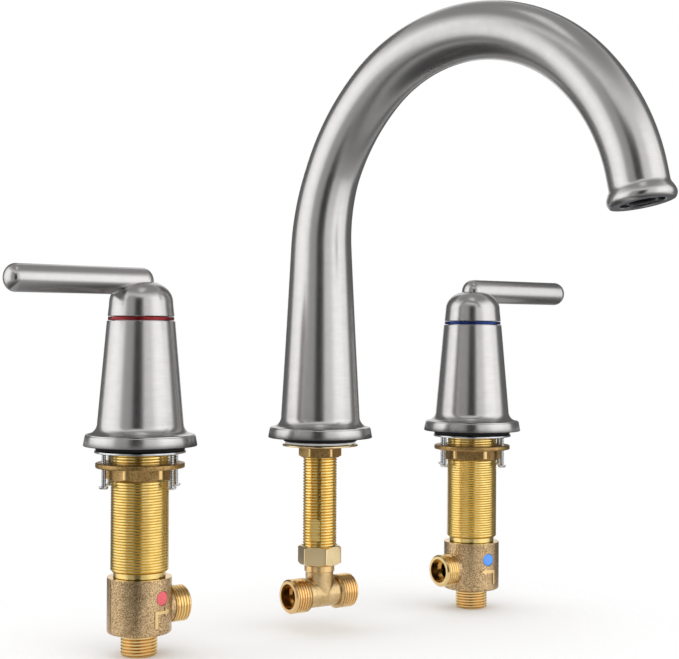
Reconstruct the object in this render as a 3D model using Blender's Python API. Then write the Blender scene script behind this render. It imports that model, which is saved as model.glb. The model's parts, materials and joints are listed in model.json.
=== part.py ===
"""Roman tub faucet for a bath deck: a gooseneck spout between a hot and a cold lever valve.

The frame: +Z is up and Z = 0 is the top of the deck. X runs along the row of three holes, from the
hot valve at -X to the cold valve at +X. The bather sits on the -Y side. The origin is the middle of
the spout's hole. All lengths are in metres.
"""
import math

import bmesh
import bpy
from mathutils import Matrix

# Clearances, and how finely round pieces are cut
GAP = 0.0003
OVERRUN = 0.001
MERGE = 0.000001
SMOOTH_ANGLE = math.radians(35)
LARGE_SIDES = 20
SIDES = 16
INNER_SIDES = 10
SMALL_SIDES = 8

# The row of holes, and how far the spout is turned from straight ahead towards the cold side
SPREAD = 0.126
SPOUT_TURN = math.radians(22)

# The two pipe threads, drawn plain at their nominal radius: the wide one of the valve shanks, and
# the half inch one of all connections. A chamfer leads into each thread.
WIDE_RADIUS = 0.0166
HALF_RADIUS = 0.0105
THREAD_DEPTH = 0.001

# The foot that spout and escutcheons share: a slightly tapered band with a cove above it. Underneath,
# a rim rests on the deck, and what lies inside the rim stands back from it.
FLANGE_RADIUS = 0.0325
FLANGE_DRAFT = 0.0009
FLANGE_HEIGHT = 0.0061
FLANGE_EDGE = 0.0005
RIM_INNER_RADIUS = 0.0266
RIM_DEPTH = 0.0005
COVE_RADIUS = 0.0064
COVE_STEPS = 3

# Escutcheon
ESCUTCHEON_HEIGHT = 0.0715
SKIRT_RADIUS = 0.0246
SKIRT_TOP_RADIUS = 0.0195
SKIRT_WALL = 0.0022
FLOOR = 0.004
ROOF = 0.003
SPIGOT_WALL = 0.003
SPIGOT_HEIGHT = 0.0014

# Indicator ring between escutcheon and handle
RING_HEIGHT = 0.002
RING_SETBACK = 0.0006

# Handle cap: a short cone under a dome that is squarer than an ellipse
CAP_RADIUS = 0.019
CAP_DRAFT = 0.0007
CAP_CONE_HEIGHT = 0.0069
DOME_HEIGHT = 0.0136
DOME_POWER = 2.3
DOME_STEPS = 6
CAP_WALL = 0.0024
CAP_CAVITY_DEPTH = 0.0058
HUB_RADIUS = 0.0084
HUB_BORE_DEPTH = 0.0098
HUB_RECESS = 0.0008

# Lever: a round bar that lies half sunk in the dome
LEVER_RADIUS = 0.00785
LEVER_REACH = 0.083
LEVER_BACK = 0.0068
LEVER_NOSE = 0.0065
LEVER_RISE = 0.0004
NOSE_STEPS = 4

# Screws of the handle
LEVER_SCREW_RADIUS = 0.0018
LEVER_SCREW_HEAD_RADIUS = 0.003
LEVER_SCREW_HEAD_HEIGHT = 0.0022
LEVER_SCREW_BITE = 0.0055
GRUB_RADIUS = 0.002
GRUB_LENGTH = 0.007
GRUB_SOCKET_RADIUS = 0.001
GRUB_SOCKET_DEPTH = 0.0025
GRUB_HEIGHT = 0.0038

# Ceramic cartridge, from the seat upwards
SEAT_HEIGHT = 0.033
SEAL_HEIGHT = 0.0022
SEAL_RADIUS = 0.0086
SEAL_BORE_RADIUS = 0.0066
DISC_RADIUS = 0.0086
DISC_HEIGHT = 0.0032
PORT_RADIUS = 0.0021
PORT_OFFSET = 0.0046
TANG_WIDTH = 0.003
TANG_DEPTH = 0.0011
DRIVE_HEAD_RADIUS = 0.0076
DRIVE_HEAD_HEIGHT = 0.0026
STEM_RADIUS = 0.004
SPLINE_TEETH = 20
SPLINE_DEPTH_SHARE = 0.1
SPLINE_LENGTH = 0.009
BONNET_WALL = 0.0016
BONNET_THREAD_HEIGHT = 0.0045
BONNET_COLLAR_HEIGHT = 0.005
BONNET_COLLAR_OVERHANG = 0.0014
BONNET_NECK_RADIUS = 0.0078
BONNET_NECK_HEIGHT = 0.012
WINDOW_RADIUS = 0.002

# Valve shank, and the ring nut that hangs it from the escutcheon's floor
THREAD_LENGTH = 0.0716
RELIEF_HEIGHT = 0.0029
RELIEF_DEPTH = 0.0007
SHANK_BORE_RADIUS = 0.0126
SHANK_TOP_WALL = 0.0024
COLLAR_HEIGHT = 0.0055
COLLAR_WIDTH = 0.0045
SHANK_SOCKET_DEPTH = 0.009
SHANK_SOCKET_WALL = 0.0018

# Deck seals and fixings of a valve
GASKET_RADIUS = 0.0255
GASKET_HEIGHT = 0.0025
WASHER_RADIUS = 0.0261
WASHER_HEIGHT = 0.0013
NUT_DROP = 0.0057
NUT_FLANGE_RADIUS = 0.0255
NUT_FLANGE_HEIGHT = 0.0029
NUT_FLAT_WIDTH = 0.036
NUT_HEX_HEIGHT = 0.007
NUT_CHAMFER = 0.0008
SCREW_RADIUS = 0.0014
SCREW_HEAD_RADIUS = 0.0027
SCREW_HEAD_HEIGHT = 0.0017
SCREW_TAIL = 0.003
SCREW_CIRCLE_RADIUS = 0.0216
SCREW_PAIR_ANGLE = math.radians(27)

# The side of the nuts that shows: seen from above, one flat of each faces the front left corner
VIEWED_FROM = math.radians(-126)

# Cast valve body with its two half inch outlets
BODY_RADIUS = 0.0185
BODY_HEIGHT = 0.0317
BODY_EDGE = 0.001
BODY_FLOOR = 0.0055
CHAMBER_RADIUS = 0.0128
NOZZLE_LENGTH = 0.013
STUB_REACH = 0.029
STUB_DROP = 0.018
MOUTH_RADIUS = 0.0078
MOUTH_DEPTH = 0.0075
THROAT_RADIUS = 0.0062
RISER_RADIUS = 0.0078
RISER_BORE_RADIUS = 0.0063
RISER_SOCKET_DEPTH = 0.0035
SEAT_FLANGE_RADIUS = 0.0095
SEAT_FLANGE_HEIGHT = 0.002
MARK_HEIGHT = 0.0006
DOT_RADIUS = 0.004
DOT_THICKNESS = 0.0006
DOT_RECESS = 0.0011
DOT_DROP = 0.0107
ARROW_DROP = 0.0185
ARROW_STEM_LENGTH = 0.0095
ARROW_LENGTH = 0.011
ARROW_WIDTH = 0.0018
ARROW_HEAD_LENGTH = 0.0036
ARROW_HEAD_WIDTH = 0.0052

# Gooseneck: a straight rise, three bends that join smoothly, and a straight end
SPOUT_RISE = 0.1175
FIRST_BEND_RADIUS = 0.139
FIRST_BEND_ANGLE = math.radians(44.4)
MAIN_BEND_RADIUS = 0.0936
MAIN_BEND_ANGLE = math.radians(90.4)
LAST_BEND_RADIUS = 0.121
LAST_BEND_ANGLE = math.radians(33.6)
OUTLET_STRAIGHT = 0.0173
BEND_STEP = math.radians(13)
TUBE_RADIUS = 0.017
TUBE_WALL = 0.0015
TAPER_LENGTH = 0.152
TAPER_POWER = 1.15
TAPER_STEPS = 5

# Outlet bead and aerator seat
BEAD_RADIUS = 0.0195
BEAD_HEIGHT = 0.0072
BEAD_FACE_RADIUS = 0.0182
BEAD_FLARE = 0.0035
BEAD_SHARES = ((0.0, 0.0), (0.16, 0.62), (0.45, 1.0), (0.78, 0.72), (1.0, 0.25))
OUTLET_RADIUS = 0.0127
OUTLET_DEPTH = 0.003
AERATOR_SEAT_RADIUS = 0.0123
AERATOR_SEAT_DEPTH = 0.008
OUTLET_THROAT_RADIUS = 0.01
OUTLET_THROAT_DEPTH = 0.002
AERATOR_SEAL_HEIGHT = 0.0012
AERATOR_WALL = 0.0028
AERATOR_NOTCH_WIDTH = 0.003
AERATOR_NOTCH_DEPTH = 0.0022
AERATOR_CORE_RECESS = 0.0008

# Spout fixings under the deck
BASE_RADIUS = 0.022
BASE_HEIGHT = 0.008
BASE_SHOULDER = 0.0025
SPOUT_GASKET_RADIUS = 0.0229
SPOUT_GASKET_HEIGHT = 0.0024
SPACER_RADIUS = 0.0219
SPACER_HEIGHT = 0.0013
CLAMP_RADIUS = 0.0236
CLAMP_HEIGHT = 0.0011
CLAMP_NOTCH = 0.003
SPOUT_NUT_FLAT_WIDTH = 0.0236
SPOUT_NUT_TURN = math.radians(2.4)
SPOUT_NUT_HEIGHT = 0.0068
SHANK_LENGTH = 0.0742
SHANK_WALL = 0.0027
FLAT_WIDTH = 0.0068
FLAT_HEIGHT = 0.0132
FLAT_DROP = 0.057
FLAT_TURN = math.radians(-142)

# Union nut and tee
UNION_DROP = 0.0673
UNION_FLAT_WIDTH = 0.0242
UNION_TURN = math.radians(-11.6)
UNION_HEIGHT = 0.0118
UNION_LIP = 0.0013
UNION_GASKET_HEIGHT = 0.0015
TEE_FLANGE_RADIUS = 0.0098
TEE_NECK_RADIUS = 0.0082
TEE_COLLAR_RADIUS = 0.0094
TEE_COLLAR_HEIGHT = 0.0042
TEE_BRANCH_RADIUS = 0.0087
TEE_DROP = 0.0975
TEE_REACH = 0.0235
TEE_RUN_RADIUS = 0.0085
TEE_RISE_RADIUS = 0.0058
TEE_THREAD_LENGTH = 0.0095

# What differs between the two valves: which way the lever points, and where the marks sit
VALVES = {
    "hot": {
        "side": -1, "mark_turn": math.radians(-73), "arrow_way": 1, "nut_turn": math.radians(13.7),
        "colour": "red_enamel",
    },
    "cold": {
        "side": 1, "mark_turn": math.radians(-93), "arrow_way": -1, "nut_turn": math.radians(-9.4),
        "colour": "blue_enamel",
    },
}

# Colour, roughness and metallic value of each material
FINISHES = {
    "brushed_nickel": ((0.50, 0.49, 0.47), 0.30, 1.0),
    "machined_brass": ((0.66, 0.44, 0.14), 0.25, 1.0),
    "cast_brass": ((0.36, 0.25, 0.13), 0.55, 1.0),
    "forged_brass": ((0.55, 0.38, 0.16), 0.40, 1.0),
    "plated_steel": ((0.62, 0.62, 0.63), 0.25, 1.0),
    "black_rubber": ((0.01, 0.01, 0.012), 0.80, 0.0),
    "white_nylon": ((0.80, 0.80, 0.78), 0.50, 0.0),
    "black_plastic": ((0.015, 0.015, 0.017), 0.45, 0.0),
    "white_ceramic": ((0.82, 0.81, 0.78), 0.15, 0.0),
    "red_enamel": ((0.62, 0.03, 0.04), 0.35, 0.0),
    "blue_enamel": ((0.03, 0.13, 0.62), 0.35, 0.0),
}

materials = {}
groups = {}


def clear_scene():
    for old in list(bpy.data.objects):
        bpy.data.objects.remove(old, do_unlink=True)


def make_materials():
    for name, (colour, roughness, metallic) in FINISHES.items():
        material = bpy.data.materials.new(name)
        material.use_nodes = True
        shader = material.node_tree.nodes["Principled BSDF"]
        shader.inputs["Base Color"].default_value = (*colour, 1.0)
        shader.inputs["Roughness"].default_value = roughness
        shader.inputs["Metallic"].default_value = metallic
        material.diffuse_color = (*colour, 1.0)
        materials[name] = material


def make_group(name, location, turn=0.0):
    """An empty on the vertical axis that its pieces share."""
    empty = bpy.data.objects.new(name, None)
    empty.location = location
    empty.rotation_euler.z = turn
    bpy.context.collection.objects.link(empty)
    groups[name] = empty
    return empty


def finish_object(name, mesh, group, finish):
    """Turns an edited mesh into a named, shaded object of a group."""
    bmesh.ops.remove_doubles(mesh, verts=mesh.verts, dist=MERGE)
    bmesh.ops.recalc_face_normals(mesh, faces=mesh.faces)
    data = bpy.data.meshes.new(name)
    mesh.to_mesh(data)
    mesh.free()
    data.shade_smooth()
    data.set_sharp_from_angle(angle=SMOOTH_ANGLE)
    piece = bpy.data.objects.new(name, data)
    bpy.context.collection.objects.link(piece)
    piece.parent = groups[group]
    if finish:
        data.materials.append(materials[finish])
    else:
        piece.hide_render = True
        piece.display_type = "WIRE"
    return piece


def half_facet(sides):
    """Half a facet's turn, which keeps a piece's edges off those of the piece that it cuts or joins."""
    return Matrix.Rotation(math.pi / sides, 4, "Z")


def flatten_ends(mesh):
    """Makes each flat fan of triangles round the axis one face."""
    bmesh.ops.remove_doubles(mesh, verts=mesh.verts, dist=MERGE)
    hubs = [
        hub for hub in mesh.verts
        if math.hypot(hub.co.x, hub.co.y) < MERGE
        and all(abs(edge.other_vert(hub).co.z - hub.co.z) < MERGE for edge in hub.link_edges)
    ]
    bmesh.ops.dissolve_verts(mesh, verts=hubs)


def turned(name, outline, group, finish=None, sides=SIDES, place=Matrix()):
    """Spins a closed outline of (radius, height) points about the Z axis."""
    mesh = bmesh.new()
    points = [mesh.verts.new((radius, 0.0, height)) for radius, height in outline]
    edges = []
    for start, end in zip(points, points[1:] + points[:1]):
        if start.co.x > MERGE or end.co.x > MERGE:
            edges.append(mesh.edges.new((start, end)))
    bmesh.ops.spin(
        mesh, geom=points + edges, cent=(0, 0, 0), axis=(0, 0, 1),
        angle=math.tau, steps=sides, use_merge=True,
    )
    flatten_ends(mesh)
    bmesh.ops.transform(mesh, matrix=place, verts=mesh.verts)
    return finish_object(name, mesh, group, finish)


def prism(name, outline, bottom, top, group, finish=None, place=Matrix()):
    """Extrudes a closed outline of (x, y) points from one height to another."""
    mesh = bmesh.new()
    face = mesh.faces.new([mesh.verts.new((x, y, bottom)) for x, y in outline])
    raised = bmesh.ops.extrude_face_region(mesh, geom=[face])["geom"]
    lifted = [item for item in raised if isinstance(item, bmesh.types.BMVert)]
    bmesh.ops.translate(mesh, vec=(0, 0, top - bottom), verts=lifted)
    bmesh.ops.transform(mesh, matrix=place, verts=mesh.verts)
    return finish_object(name, mesh, group, finish)


def block(name, size, centre, group, place=Matrix()):
    """A box that cuts another piece."""
    mesh = bmesh.new()
    bmesh.ops.create_cube(mesh, size=1.0)
    bmesh.ops.scale(mesh, vec=size, verts=mesh.verts)
    bmesh.ops.translate(mesh, vec=centre, verts=mesh.verts)
    bmesh.ops.transform(mesh, matrix=place, verts=mesh.verts)
    return finish_object(name, mesh, group, None)


def combine(piece, other, operation):
    step = piece.modifiers.new(f"{operation.lower()} {other.name}", "BOOLEAN")
    step.operation = operation
    step.solver = "EXACT"
    step.object = other


def rod(radius, bottom, top):
    """Outline of a plain cylinder."""
    return [(0.0, bottom), (radius, bottom), (radius, top), (0.0, top)]


def tube(bore, radius, bottom, top):
    """Outline of a plain ring."""
    return [(bore, bottom), (radius, bottom), (radius, top), (bore, top)]


def around(radius, sides=SIDES):
    """The radius of a faceted bore whose flats clear a round piece by the gap."""
    return (radius + GAP) / math.cos(math.pi / sides)


def within(radius, sides=SIDES):
    """The radius of a round piece that clears the flats of a faceted bore by the gap."""
    return radius * math.cos(math.pi / sides) - GAP


def threaded(radius, bottom, top):
    """Points of a thread's plain outside, chamfered at both ends."""
    root = radius - THREAD_DEPTH
    return [(root, bottom), (radius, bottom + THREAD_DEPTH), (radius, top - THREAD_DEPTH), (root, top)]


def hexagon(flat_width, turn):
    """Corners of a hexagon, one of whose flats looks the way that turn says."""
    radius = flat_width / 2 / math.cos(math.pi / 6)
    angles = [turn + math.pi / 6 + i * math.pi / 3 for i in range(6)]
    return [(radius * math.cos(angle), radius * math.sin(angle)) for angle in angles]


def chamfered(name, piece, flat_width, bottom, top, group):
    """Rounds off a hexagon's corners at its two ends."""
    flat = flat_width / 2
    corner = flat / math.cos(math.pi / 6)
    outline = [
        (0.0, bottom), (flat, bottom), (corner + OVERRUN, bottom + (corner + OVERRUN - flat) / 2),
        (corner + OVERRUN, top - (corner + OVERRUN - flat) / 2), (flat, top), (0.0, top),
    ]
    guide = turned(name, outline, group, None, SIDES, half_facet(SIDES))
    combine(piece, guide, "INTERSECT")


def foot_points():
    """Outer points of the foot: the rim, the band with its soft edges and the cove above it."""
    top = FLANGE_RADIUS - FLANGE_DRAFT
    points = [
        (RIM_INNER_RADIUS, RIM_DEPTH),
        (RIM_INNER_RADIUS, 0.0),
        (FLANGE_RADIUS - FLANGE_EDGE, 0.0),
        (FLANGE_RADIUS, FLANGE_EDGE),
        (top, FLANGE_HEIGHT - FLANGE_EDGE),
        (top - FLANGE_EDGE, FLANGE_HEIGHT),
    ]
    for step in range(COVE_STEPS + 1):
        angle = math.pi / 2 * step / COVE_STEPS
        points.append((
            SKIRT_RADIUS + COVE_RADIUS * (1 - math.sin(angle)),
            FLANGE_HEIGHT + FLANGE_EDGE + COVE_RADIUS * (1 - math.cos(angle)),
        ))
    return points


COVE_TOP = FLANGE_HEIGHT + FLANGE_EDGE + COVE_RADIUS

# Heights that follow from the sizes above, for a valve
RING_BOTTOM = ESCUTCHEON_HEIGHT + GAP
CAP_BOTTOM = RING_BOTTOM + RING_HEIGHT + GAP
DOME_BOTTOM = CAP_BOTTOM + CAP_CONE_HEIGHT
CAP_TOP = DOME_BOTTOM + DOME_HEIGHT
LEVER_HEIGHT = CAP_TOP - LEVER_RISE
CAP_ROOF = CAP_BOTTOM + CAP_CAVITY_DEPTH
GASKET_BOTTOM = RIM_DEPTH - GAP - GASKET_HEIGHT
WASHER_BOTTOM = GASKET_BOTTOM - GAP - WASHER_HEIGHT
NUT_TOP = WASHER_BOTTOM - NUT_DROP
NUT_FLANGE_BOTTOM = NUT_TOP - NUT_FLANGE_HEIGHT
NUT_BOTTOM = NUT_FLANGE_BOTTOM - NUT_HEX_HEIGHT
RELIEF_BOTTOM = -THREAD_LENGTH - RELIEF_HEIGHT
BODY_TOP = RELIEF_BOTTOM - GAP
BODY_BOTTOM = BODY_TOP - BODY_HEIGHT
NOZZLE_BOTTOM = BODY_BOTTOM - NOZZLE_LENGTH
CHAMBER_BOTTOM = BODY_BOTTOM + BODY_FLOOR
FIXED_DISC_BOTTOM = SEAT_HEIGHT + SEAL_HEIGHT + 2 * GAP
MOVING_DISC_BOTTOM = FIXED_DISC_BOTTOM + DISC_HEIGHT + GAP
DRIVE_BOTTOM = MOVING_DISC_BOTTOM + DISC_HEIGHT + GAP
BONNET_BOTTOM = FIXED_DISC_BOTTOM
BONNET_CEILING = DRIVE_BOTTOM + DRIVE_HEAD_HEIGHT + GAP
SHANK_TOP = BONNET_CEILING + GAP
STEM_TOP = CAP_BOTTOM + HUB_BORE_DEPTH - GAP


def build_escutcheon(group):
    wall_top = ESCUTCHEON_HEIGHT - ROOF
    spigot = SKIRT_TOP_RADIUS - SPIGOT_WALL
    cavity = SKIRT_RADIUS - SKIRT_WALL
    bore = around(WIDE_RADIUS, LARGE_SIDES)
    outline = [(bore, RIM_DEPTH)] + foot_points() + [
        (SKIRT_TOP_RADIUS, ESCUTCHEON_HEIGHT),
        (spigot, ESCUTCHEON_HEIGHT),
        (spigot, ESCUTCHEON_HEIGHT + SPIGOT_HEIGHT),
        (spigot - SPIGOT_WALL, ESCUTCHEON_HEIGHT + SPIGOT_HEIGHT),
        (spigot - SPIGOT_WALL, wall_top),
        (SKIRT_TOP_RADIUS - SKIRT_WALL, wall_top),
        (cavity, COVE_TOP),
        (cavity, FLOOR),
        (bore, FLOOR),
    ]
    turned(f"{group}_escutcheon", outline, group, "brushed_nickel", LARGE_SIDES)


def build_indicator_ring(group):
    bore = around(SKIRT_TOP_RADIUS - SPIGOT_WALL, LARGE_SIDES)
    ring = tube(bore, SKIRT_TOP_RADIUS - RING_SETBACK, RING_BOTTOM, RING_BOTTOM + RING_HEIGHT)
    turned(f"{group}_indicator_ring", ring, group, VALVES[group]["colour"], LARGE_SIDES)


def lever_outline(grow=0.0):
    """Half outline of the lever, from its root to its tip, along the bar's own axis."""
    radius = LEVER_RADIUS + grow
    points = []
    for end, way in ((-LEVER_BACK - grow, 1), (LEVER_REACH + grow, -1)):
        nose = []
        for step in range(NOSE_STEPS + 1):
            angle = math.pi / 2 * step / NOSE_STEPS
            nose.append((radius * math.sin(angle), end + way * LEVER_NOSE * (1 - math.cos(angle))))
        points += nose if way == 1 else nose[::-1]
    return points


def build_handle(group):
    side = VALVES[group]["side"]
    along = Matrix.Translation((0, 0, LEVER_HEIGHT)) @ Matrix.Rotation(side * math.pi / 2, 4, "Y")
    dome_radius = CAP_RADIUS - CAP_DRAFT
    bore = around(STEM_RADIUS, LARGE_SIDES)
    outline = [(CAP_RADIUS, CAP_BOTTOM)]
    for step in range(DOME_STEPS + 1):
        angle = math.pi / 2 * step / DOME_STEPS
        outline.append((
            dome_radius * math.cos(angle) ** (2 / DOME_POWER) if step < DOME_STEPS else 0.0,
            DOME_BOTTOM + DOME_HEIGHT * math.sin(angle) ** (2 / DOME_POWER),
        ))
    outline += [
        (0.0, CAP_BOTTOM + HUB_BORE_DEPTH),
        (bore, CAP_BOTTOM + HUB_BORE_DEPTH),
        (bore, CAP_BOTTOM + HUB_RECESS),
        (HUB_RADIUS, CAP_BOTTOM + HUB_RECESS),
        (HUB_RADIUS, CAP_ROOF),
        (CAP_RADIUS - CAP_WALL, CAP_ROOF),
        (CAP_RADIUS - CAP_WALL, CAP_BOTTOM),
    ]
    cap = turned(
        f"{group}_handle_cap", outline, group, "brushed_nickel", LARGE_SIDES, half_facet(LARGE_SIDES),
    )
    seat = turned(f"{group}_lever_seat_cutter", lever_outline(GAP), group, None, SIDES, along)
    combine(cap, seat, "DIFFERENCE")
    lever = turned(f"{group}_lever", lever_outline(), group, "brushed_nickel", SIDES, along)

    # The lever screw stands in the cavity beside the hub and bites into the lever from below
    offset = HUB_RADIUS + GAP + LEVER_SCREW_HEAD_RADIUS
    screw_place = Matrix.Translation((side * offset, 0, 0))
    bite_top = LEVER_HEIGHT - LEVER_RADIUS + LEVER_SCREW_BITE
    head_top = CAP_ROOF - GAP
    head_bottom = head_top - LEVER_SCREW_HEAD_HEIGHT
    screw = [
        (0.0, head_bottom), (LEVER_SCREW_HEAD_RADIUS, head_bottom), (LEVER_SCREW_HEAD_RADIUS, head_top),
        (LEVER_SCREW_RADIUS, head_top), (LEVER_SCREW_RADIUS, bite_top), (0.0, bite_top),
    ]
    turned(f"{group}_lever_screw", screw, group, "plated_steel", SMALL_SIDES, screw_place)
    hole = rod(around(LEVER_SCREW_RADIUS, SMALL_SIDES), CAP_ROOF - OVERRUN, bite_top + GAP)
    hole_place = screw_place @ half_facet(SMALL_SIDES)
    hole_cutter = turned(f"{group}_lever_screw_cutter", hole, group, None, SMALL_SIDES, hole_place)
    combine(cap, hole_cutter, "DIFFERENCE")
    combine(lever, hole_cutter, "DIFFERENCE")

    # The grub screw comes in from the back and clamps the hub to the stem
    backwards = Matrix.Translation((0, 0, CAP_BOTTOM + GRUB_HEIGHT)) @ Matrix.Rotation(-math.pi / 2, 4, "X")
    tip = STEM_RADIUS + GAP
    socket_floor = tip + GRUB_LENGTH - GRUB_SOCKET_DEPTH
    grub = [
        (0.0, tip), (GRUB_RADIUS, tip), (GRUB_RADIUS, tip + GRUB_LENGTH),
        (GRUB_SOCKET_RADIUS, tip + GRUB_LENGTH), (GRUB_SOCKET_RADIUS, socket_floor), (0.0, socket_floor),
    ]
    turned(f"{group}_grub_screw", grub, group, "plated_steel", SMALL_SIDES, backwards)
    grub_hole = rod(around(GRUB_RADIUS, SMALL_SIDES), STEM_RADIUS / 2, CAP_RADIUS + OVERRUN)
    grub_cutter = turned(f"{group}_grub_cutter", grub_hole, group, None, SMALL_SIDES, backwards)
    combine(cap, grub_cutter, "DIFFERENCE")


def build_cartridge(group):
    # Stem: a drive head with a tang, a plain shaft, and a spline that the handle sits on
    spline_bottom = STEM_TOP - SPLINE_LENGTH
    shaft = STEM_RADIUS * (1 - SPLINE_DEPTH_SHARE) - GAP
    stem_outline = [
        (0.0, DRIVE_BOTTOM), (DRIVE_HEAD_RADIUS, DRIVE_BOTTOM),
        (DRIVE_HEAD_RADIUS, DRIVE_BOTTOM + DRIVE_HEAD_HEIGHT),
        (shaft, DRIVE_BOTTOM + DRIVE_HEAD_HEIGHT),
        (shaft, spline_bottom + OVERRUN), (0.0, spline_bottom + OVERRUN),
    ]
    stem = turned(f"{group}_stem", stem_outline, group, "machined_brass", INNER_SIDES)
    teeth = []
    for tooth in range(2 * SPLINE_TEETH):
        angle = math.pi * tooth / SPLINE_TEETH
        radius = STEM_RADIUS * (1 - SPLINE_DEPTH_SHARE) if tooth % 2 else STEM_RADIUS
        teeth.append((radius * math.cos(angle), radius * math.sin(angle)))
    combine(stem, prism(f"{group}_spline_guide", teeth, spline_bottom, STEM_TOP, group), "UNION")
    tang_height = TANG_DEPTH - GAP + OVERRUN
    tang_centre = DRIVE_BOTTOM + OVERRUN - tang_height / 2
    tang_size = (2 * DRIVE_HEAD_RADIUS - OVERRUN, TANG_WIDTH, tang_height)
    combine(stem, block(f"{group}_tang_guide", tang_size, (0, 0, tang_centre), group), "UNION")

    # Moving disc: ports that open sideways, and a slot for the tang
    moving = turned(
        f"{group}_moving_disc",
        rod(DISC_RADIUS - GAP, MOVING_DISC_BOTTOM, MOVING_DISC_BOTTOM + DISC_HEIGHT),
        group, "white_ceramic", INNER_SIDES,
    )
    slot_top = MOVING_DISC_BOTTOM + DISC_HEIGHT + OVERRUN
    slot_height = TANG_DEPTH + OVERRUN
    slot_size = (2 * (DISC_RADIUS + OVERRUN), TANG_WIDTH + 2 * GAP, slot_height)
    slot = block(f"{group}_tang_cutter", slot_size, (0, 0, slot_top - slot_height / 2), group)
    combine(moving, slot, "DIFFERENCE")
    port_inner = PORT_OFFSET - PORT_RADIUS
    port_length = DISC_RADIUS + OVERRUN - port_inner
    for way in (-1, 1):
        port = block(
            f"{group}_moving_port_cutter_{way}",
            (2 * PORT_RADIUS, port_length, DISC_HEIGHT + 2 * OVERRUN),
            (0, way * (port_inner + port_length / 2), MOVING_DISC_BOTTOM + DISC_HEIGHT / 2),
            group,
        )
        combine(moving, port, "DIFFERENCE")

    # Fixed disc: the ports stand a quarter turn away, so the valve is shut
    fixed = turned(
        f"{group}_fixed_disc",
        rod(DISC_RADIUS, FIXED_DISC_BOTTOM, FIXED_DISC_BOTTOM + DISC_HEIGHT),
        group, "white_ceramic", INNER_SIDES,
    )
    for way in (-1, 1):
        port = turned(
            f"{group}_fixed_port_cutter_{way}",
            rod(PORT_RADIUS, FIXED_DISC_BOTTOM - OVERRUN, FIXED_DISC_BOTTOM + DISC_HEIGHT + OVERRUN),
            group, None, SMALL_SIDES, Matrix.Translation((way * PORT_OFFSET, 0, 0)),
        )
        combine(fixed, port, "DIFFERENCE")

    seal = tube(SEAL_BORE_RADIUS, SEAL_RADIUS, SEAT_HEIGHT + GAP, SEAT_HEIGHT + GAP + SEAL_HEIGHT)
    turned(f"{group}_seat_seal", seal, group, "black_rubber", INNER_SIDES)

    # Bonnet: screws into the shank's top and holds discs and stem
    barrel = around(DISC_RADIUS, INNER_SIDES)
    guide_bore = around(shaft, INNER_SIDES)
    plug = within(SHANK_BORE_RADIUS)
    collar_top = SHANK_TOP + GAP + BONNET_COLLAR_HEIGHT
    bonnet_outline = [
        (barrel, BONNET_BOTTOM),
        (barrel + BONNET_WALL, BONNET_BOTTOM),
        (barrel + BONNET_WALL, SHANK_TOP - BONNET_THREAD_HEIGHT),
        (plug, SHANK_TOP - BONNET_THREAD_HEIGHT),
        (plug, SHANK_TOP + GAP),
        (plug + BONNET_COLLAR_OVERHANG, SHANK_TOP + GAP),
        (plug + BONNET_COLLAR_OVERHANG, collar_top),
        (BONNET_NECK_RADIUS, collar_top),
        (BONNET_NECK_RADIUS, collar_top + BONNET_NECK_HEIGHT),
        (guide_bore, collar_top + BONNET_NECK_HEIGHT),
        (guide_bore, BONNET_CEILING),
        (barrel, BONNET_CEILING),
    ]
    bonnet = turned(f"{group}_cartridge_bonnet", bonnet_outline, group, "forged_brass", INNER_SIDES)
    window_level = Matrix.Translation((0, 0, MOVING_DISC_BOTTOM))
    across = window_level @ Matrix.Rotation(math.pi / 2, 4, "Y") @ half_facet(SMALL_SIDES)
    window = rod(WINDOW_RADIUS, -SHANK_BORE_RADIUS, SHANK_BORE_RADIUS)
    combine(
        bonnet,
        turned(f"{group}_window_cutter", window, group, None, SMALL_SIDES, across),
        "DIFFERENCE",
    )

    # Riser: carries the water from the inlet up to the seat, inside the shank
    riser_bottom = CHAMBER_BOTTOM - RISER_SOCKET_DEPTH + GAP
    riser_outline = [
        (RISER_BORE_RADIUS, riser_bottom),
        (RISER_RADIUS, riser_bottom),
        (RISER_RADIUS, SEAT_HEIGHT - SEAT_FLANGE_HEIGHT),
        (SEAT_FLANGE_RADIUS, SEAT_HEIGHT - SEAT_FLANGE_HEIGHT),
        (SEAT_FLANGE_RADIUS, SEAT_HEIGHT),
        (RISER_BORE_RADIUS, SEAT_HEIGHT),
    ]
    turned(f"{group}_inner_riser", riser_outline, group, "machined_brass", INNER_SIDES)


def build_shank(group):
    smooth_radius = SHANK_BORE_RADIUS + SHANK_TOP_WALL
    thread_top = FLOOR + 2 * GAP + COLLAR_HEIGHT
    socket_bottom = BODY_TOP - SHANK_SOCKET_DEPTH + GAP
    relief = WIDE_RADIUS - THREAD_DEPTH - RELIEF_DEPTH
    spigot = SHANK_BORE_RADIUS + SHANK_SOCKET_WALL
    outline = [
        (SHANK_BORE_RADIUS, socket_bottom),
        (spigot, socket_bottom),
        (spigot, BODY_TOP),
        (relief, BODY_TOP + GAP),
    ]
    outline += threaded(WIDE_RADIUS, -THREAD_LENGTH, thread_top)
    outline += [
        (smooth_radius, thread_top),
        (smooth_radius, SHANK_TOP),
        (SHANK_BORE_RADIUS, SHANK_TOP),
    ]
    turned(f"{group}_shank", outline, group, "machined_brass")
    collar_bottom = FLOOR + GAP
    collar = tube(
        around(WIDE_RADIUS), around(WIDE_RADIUS) + COLLAR_WIDTH, collar_bottom, collar_bottom + COLLAR_HEIGHT,
    )
    turned(f"{group}_shank_collar", collar, group, "forged_brass")


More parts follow.
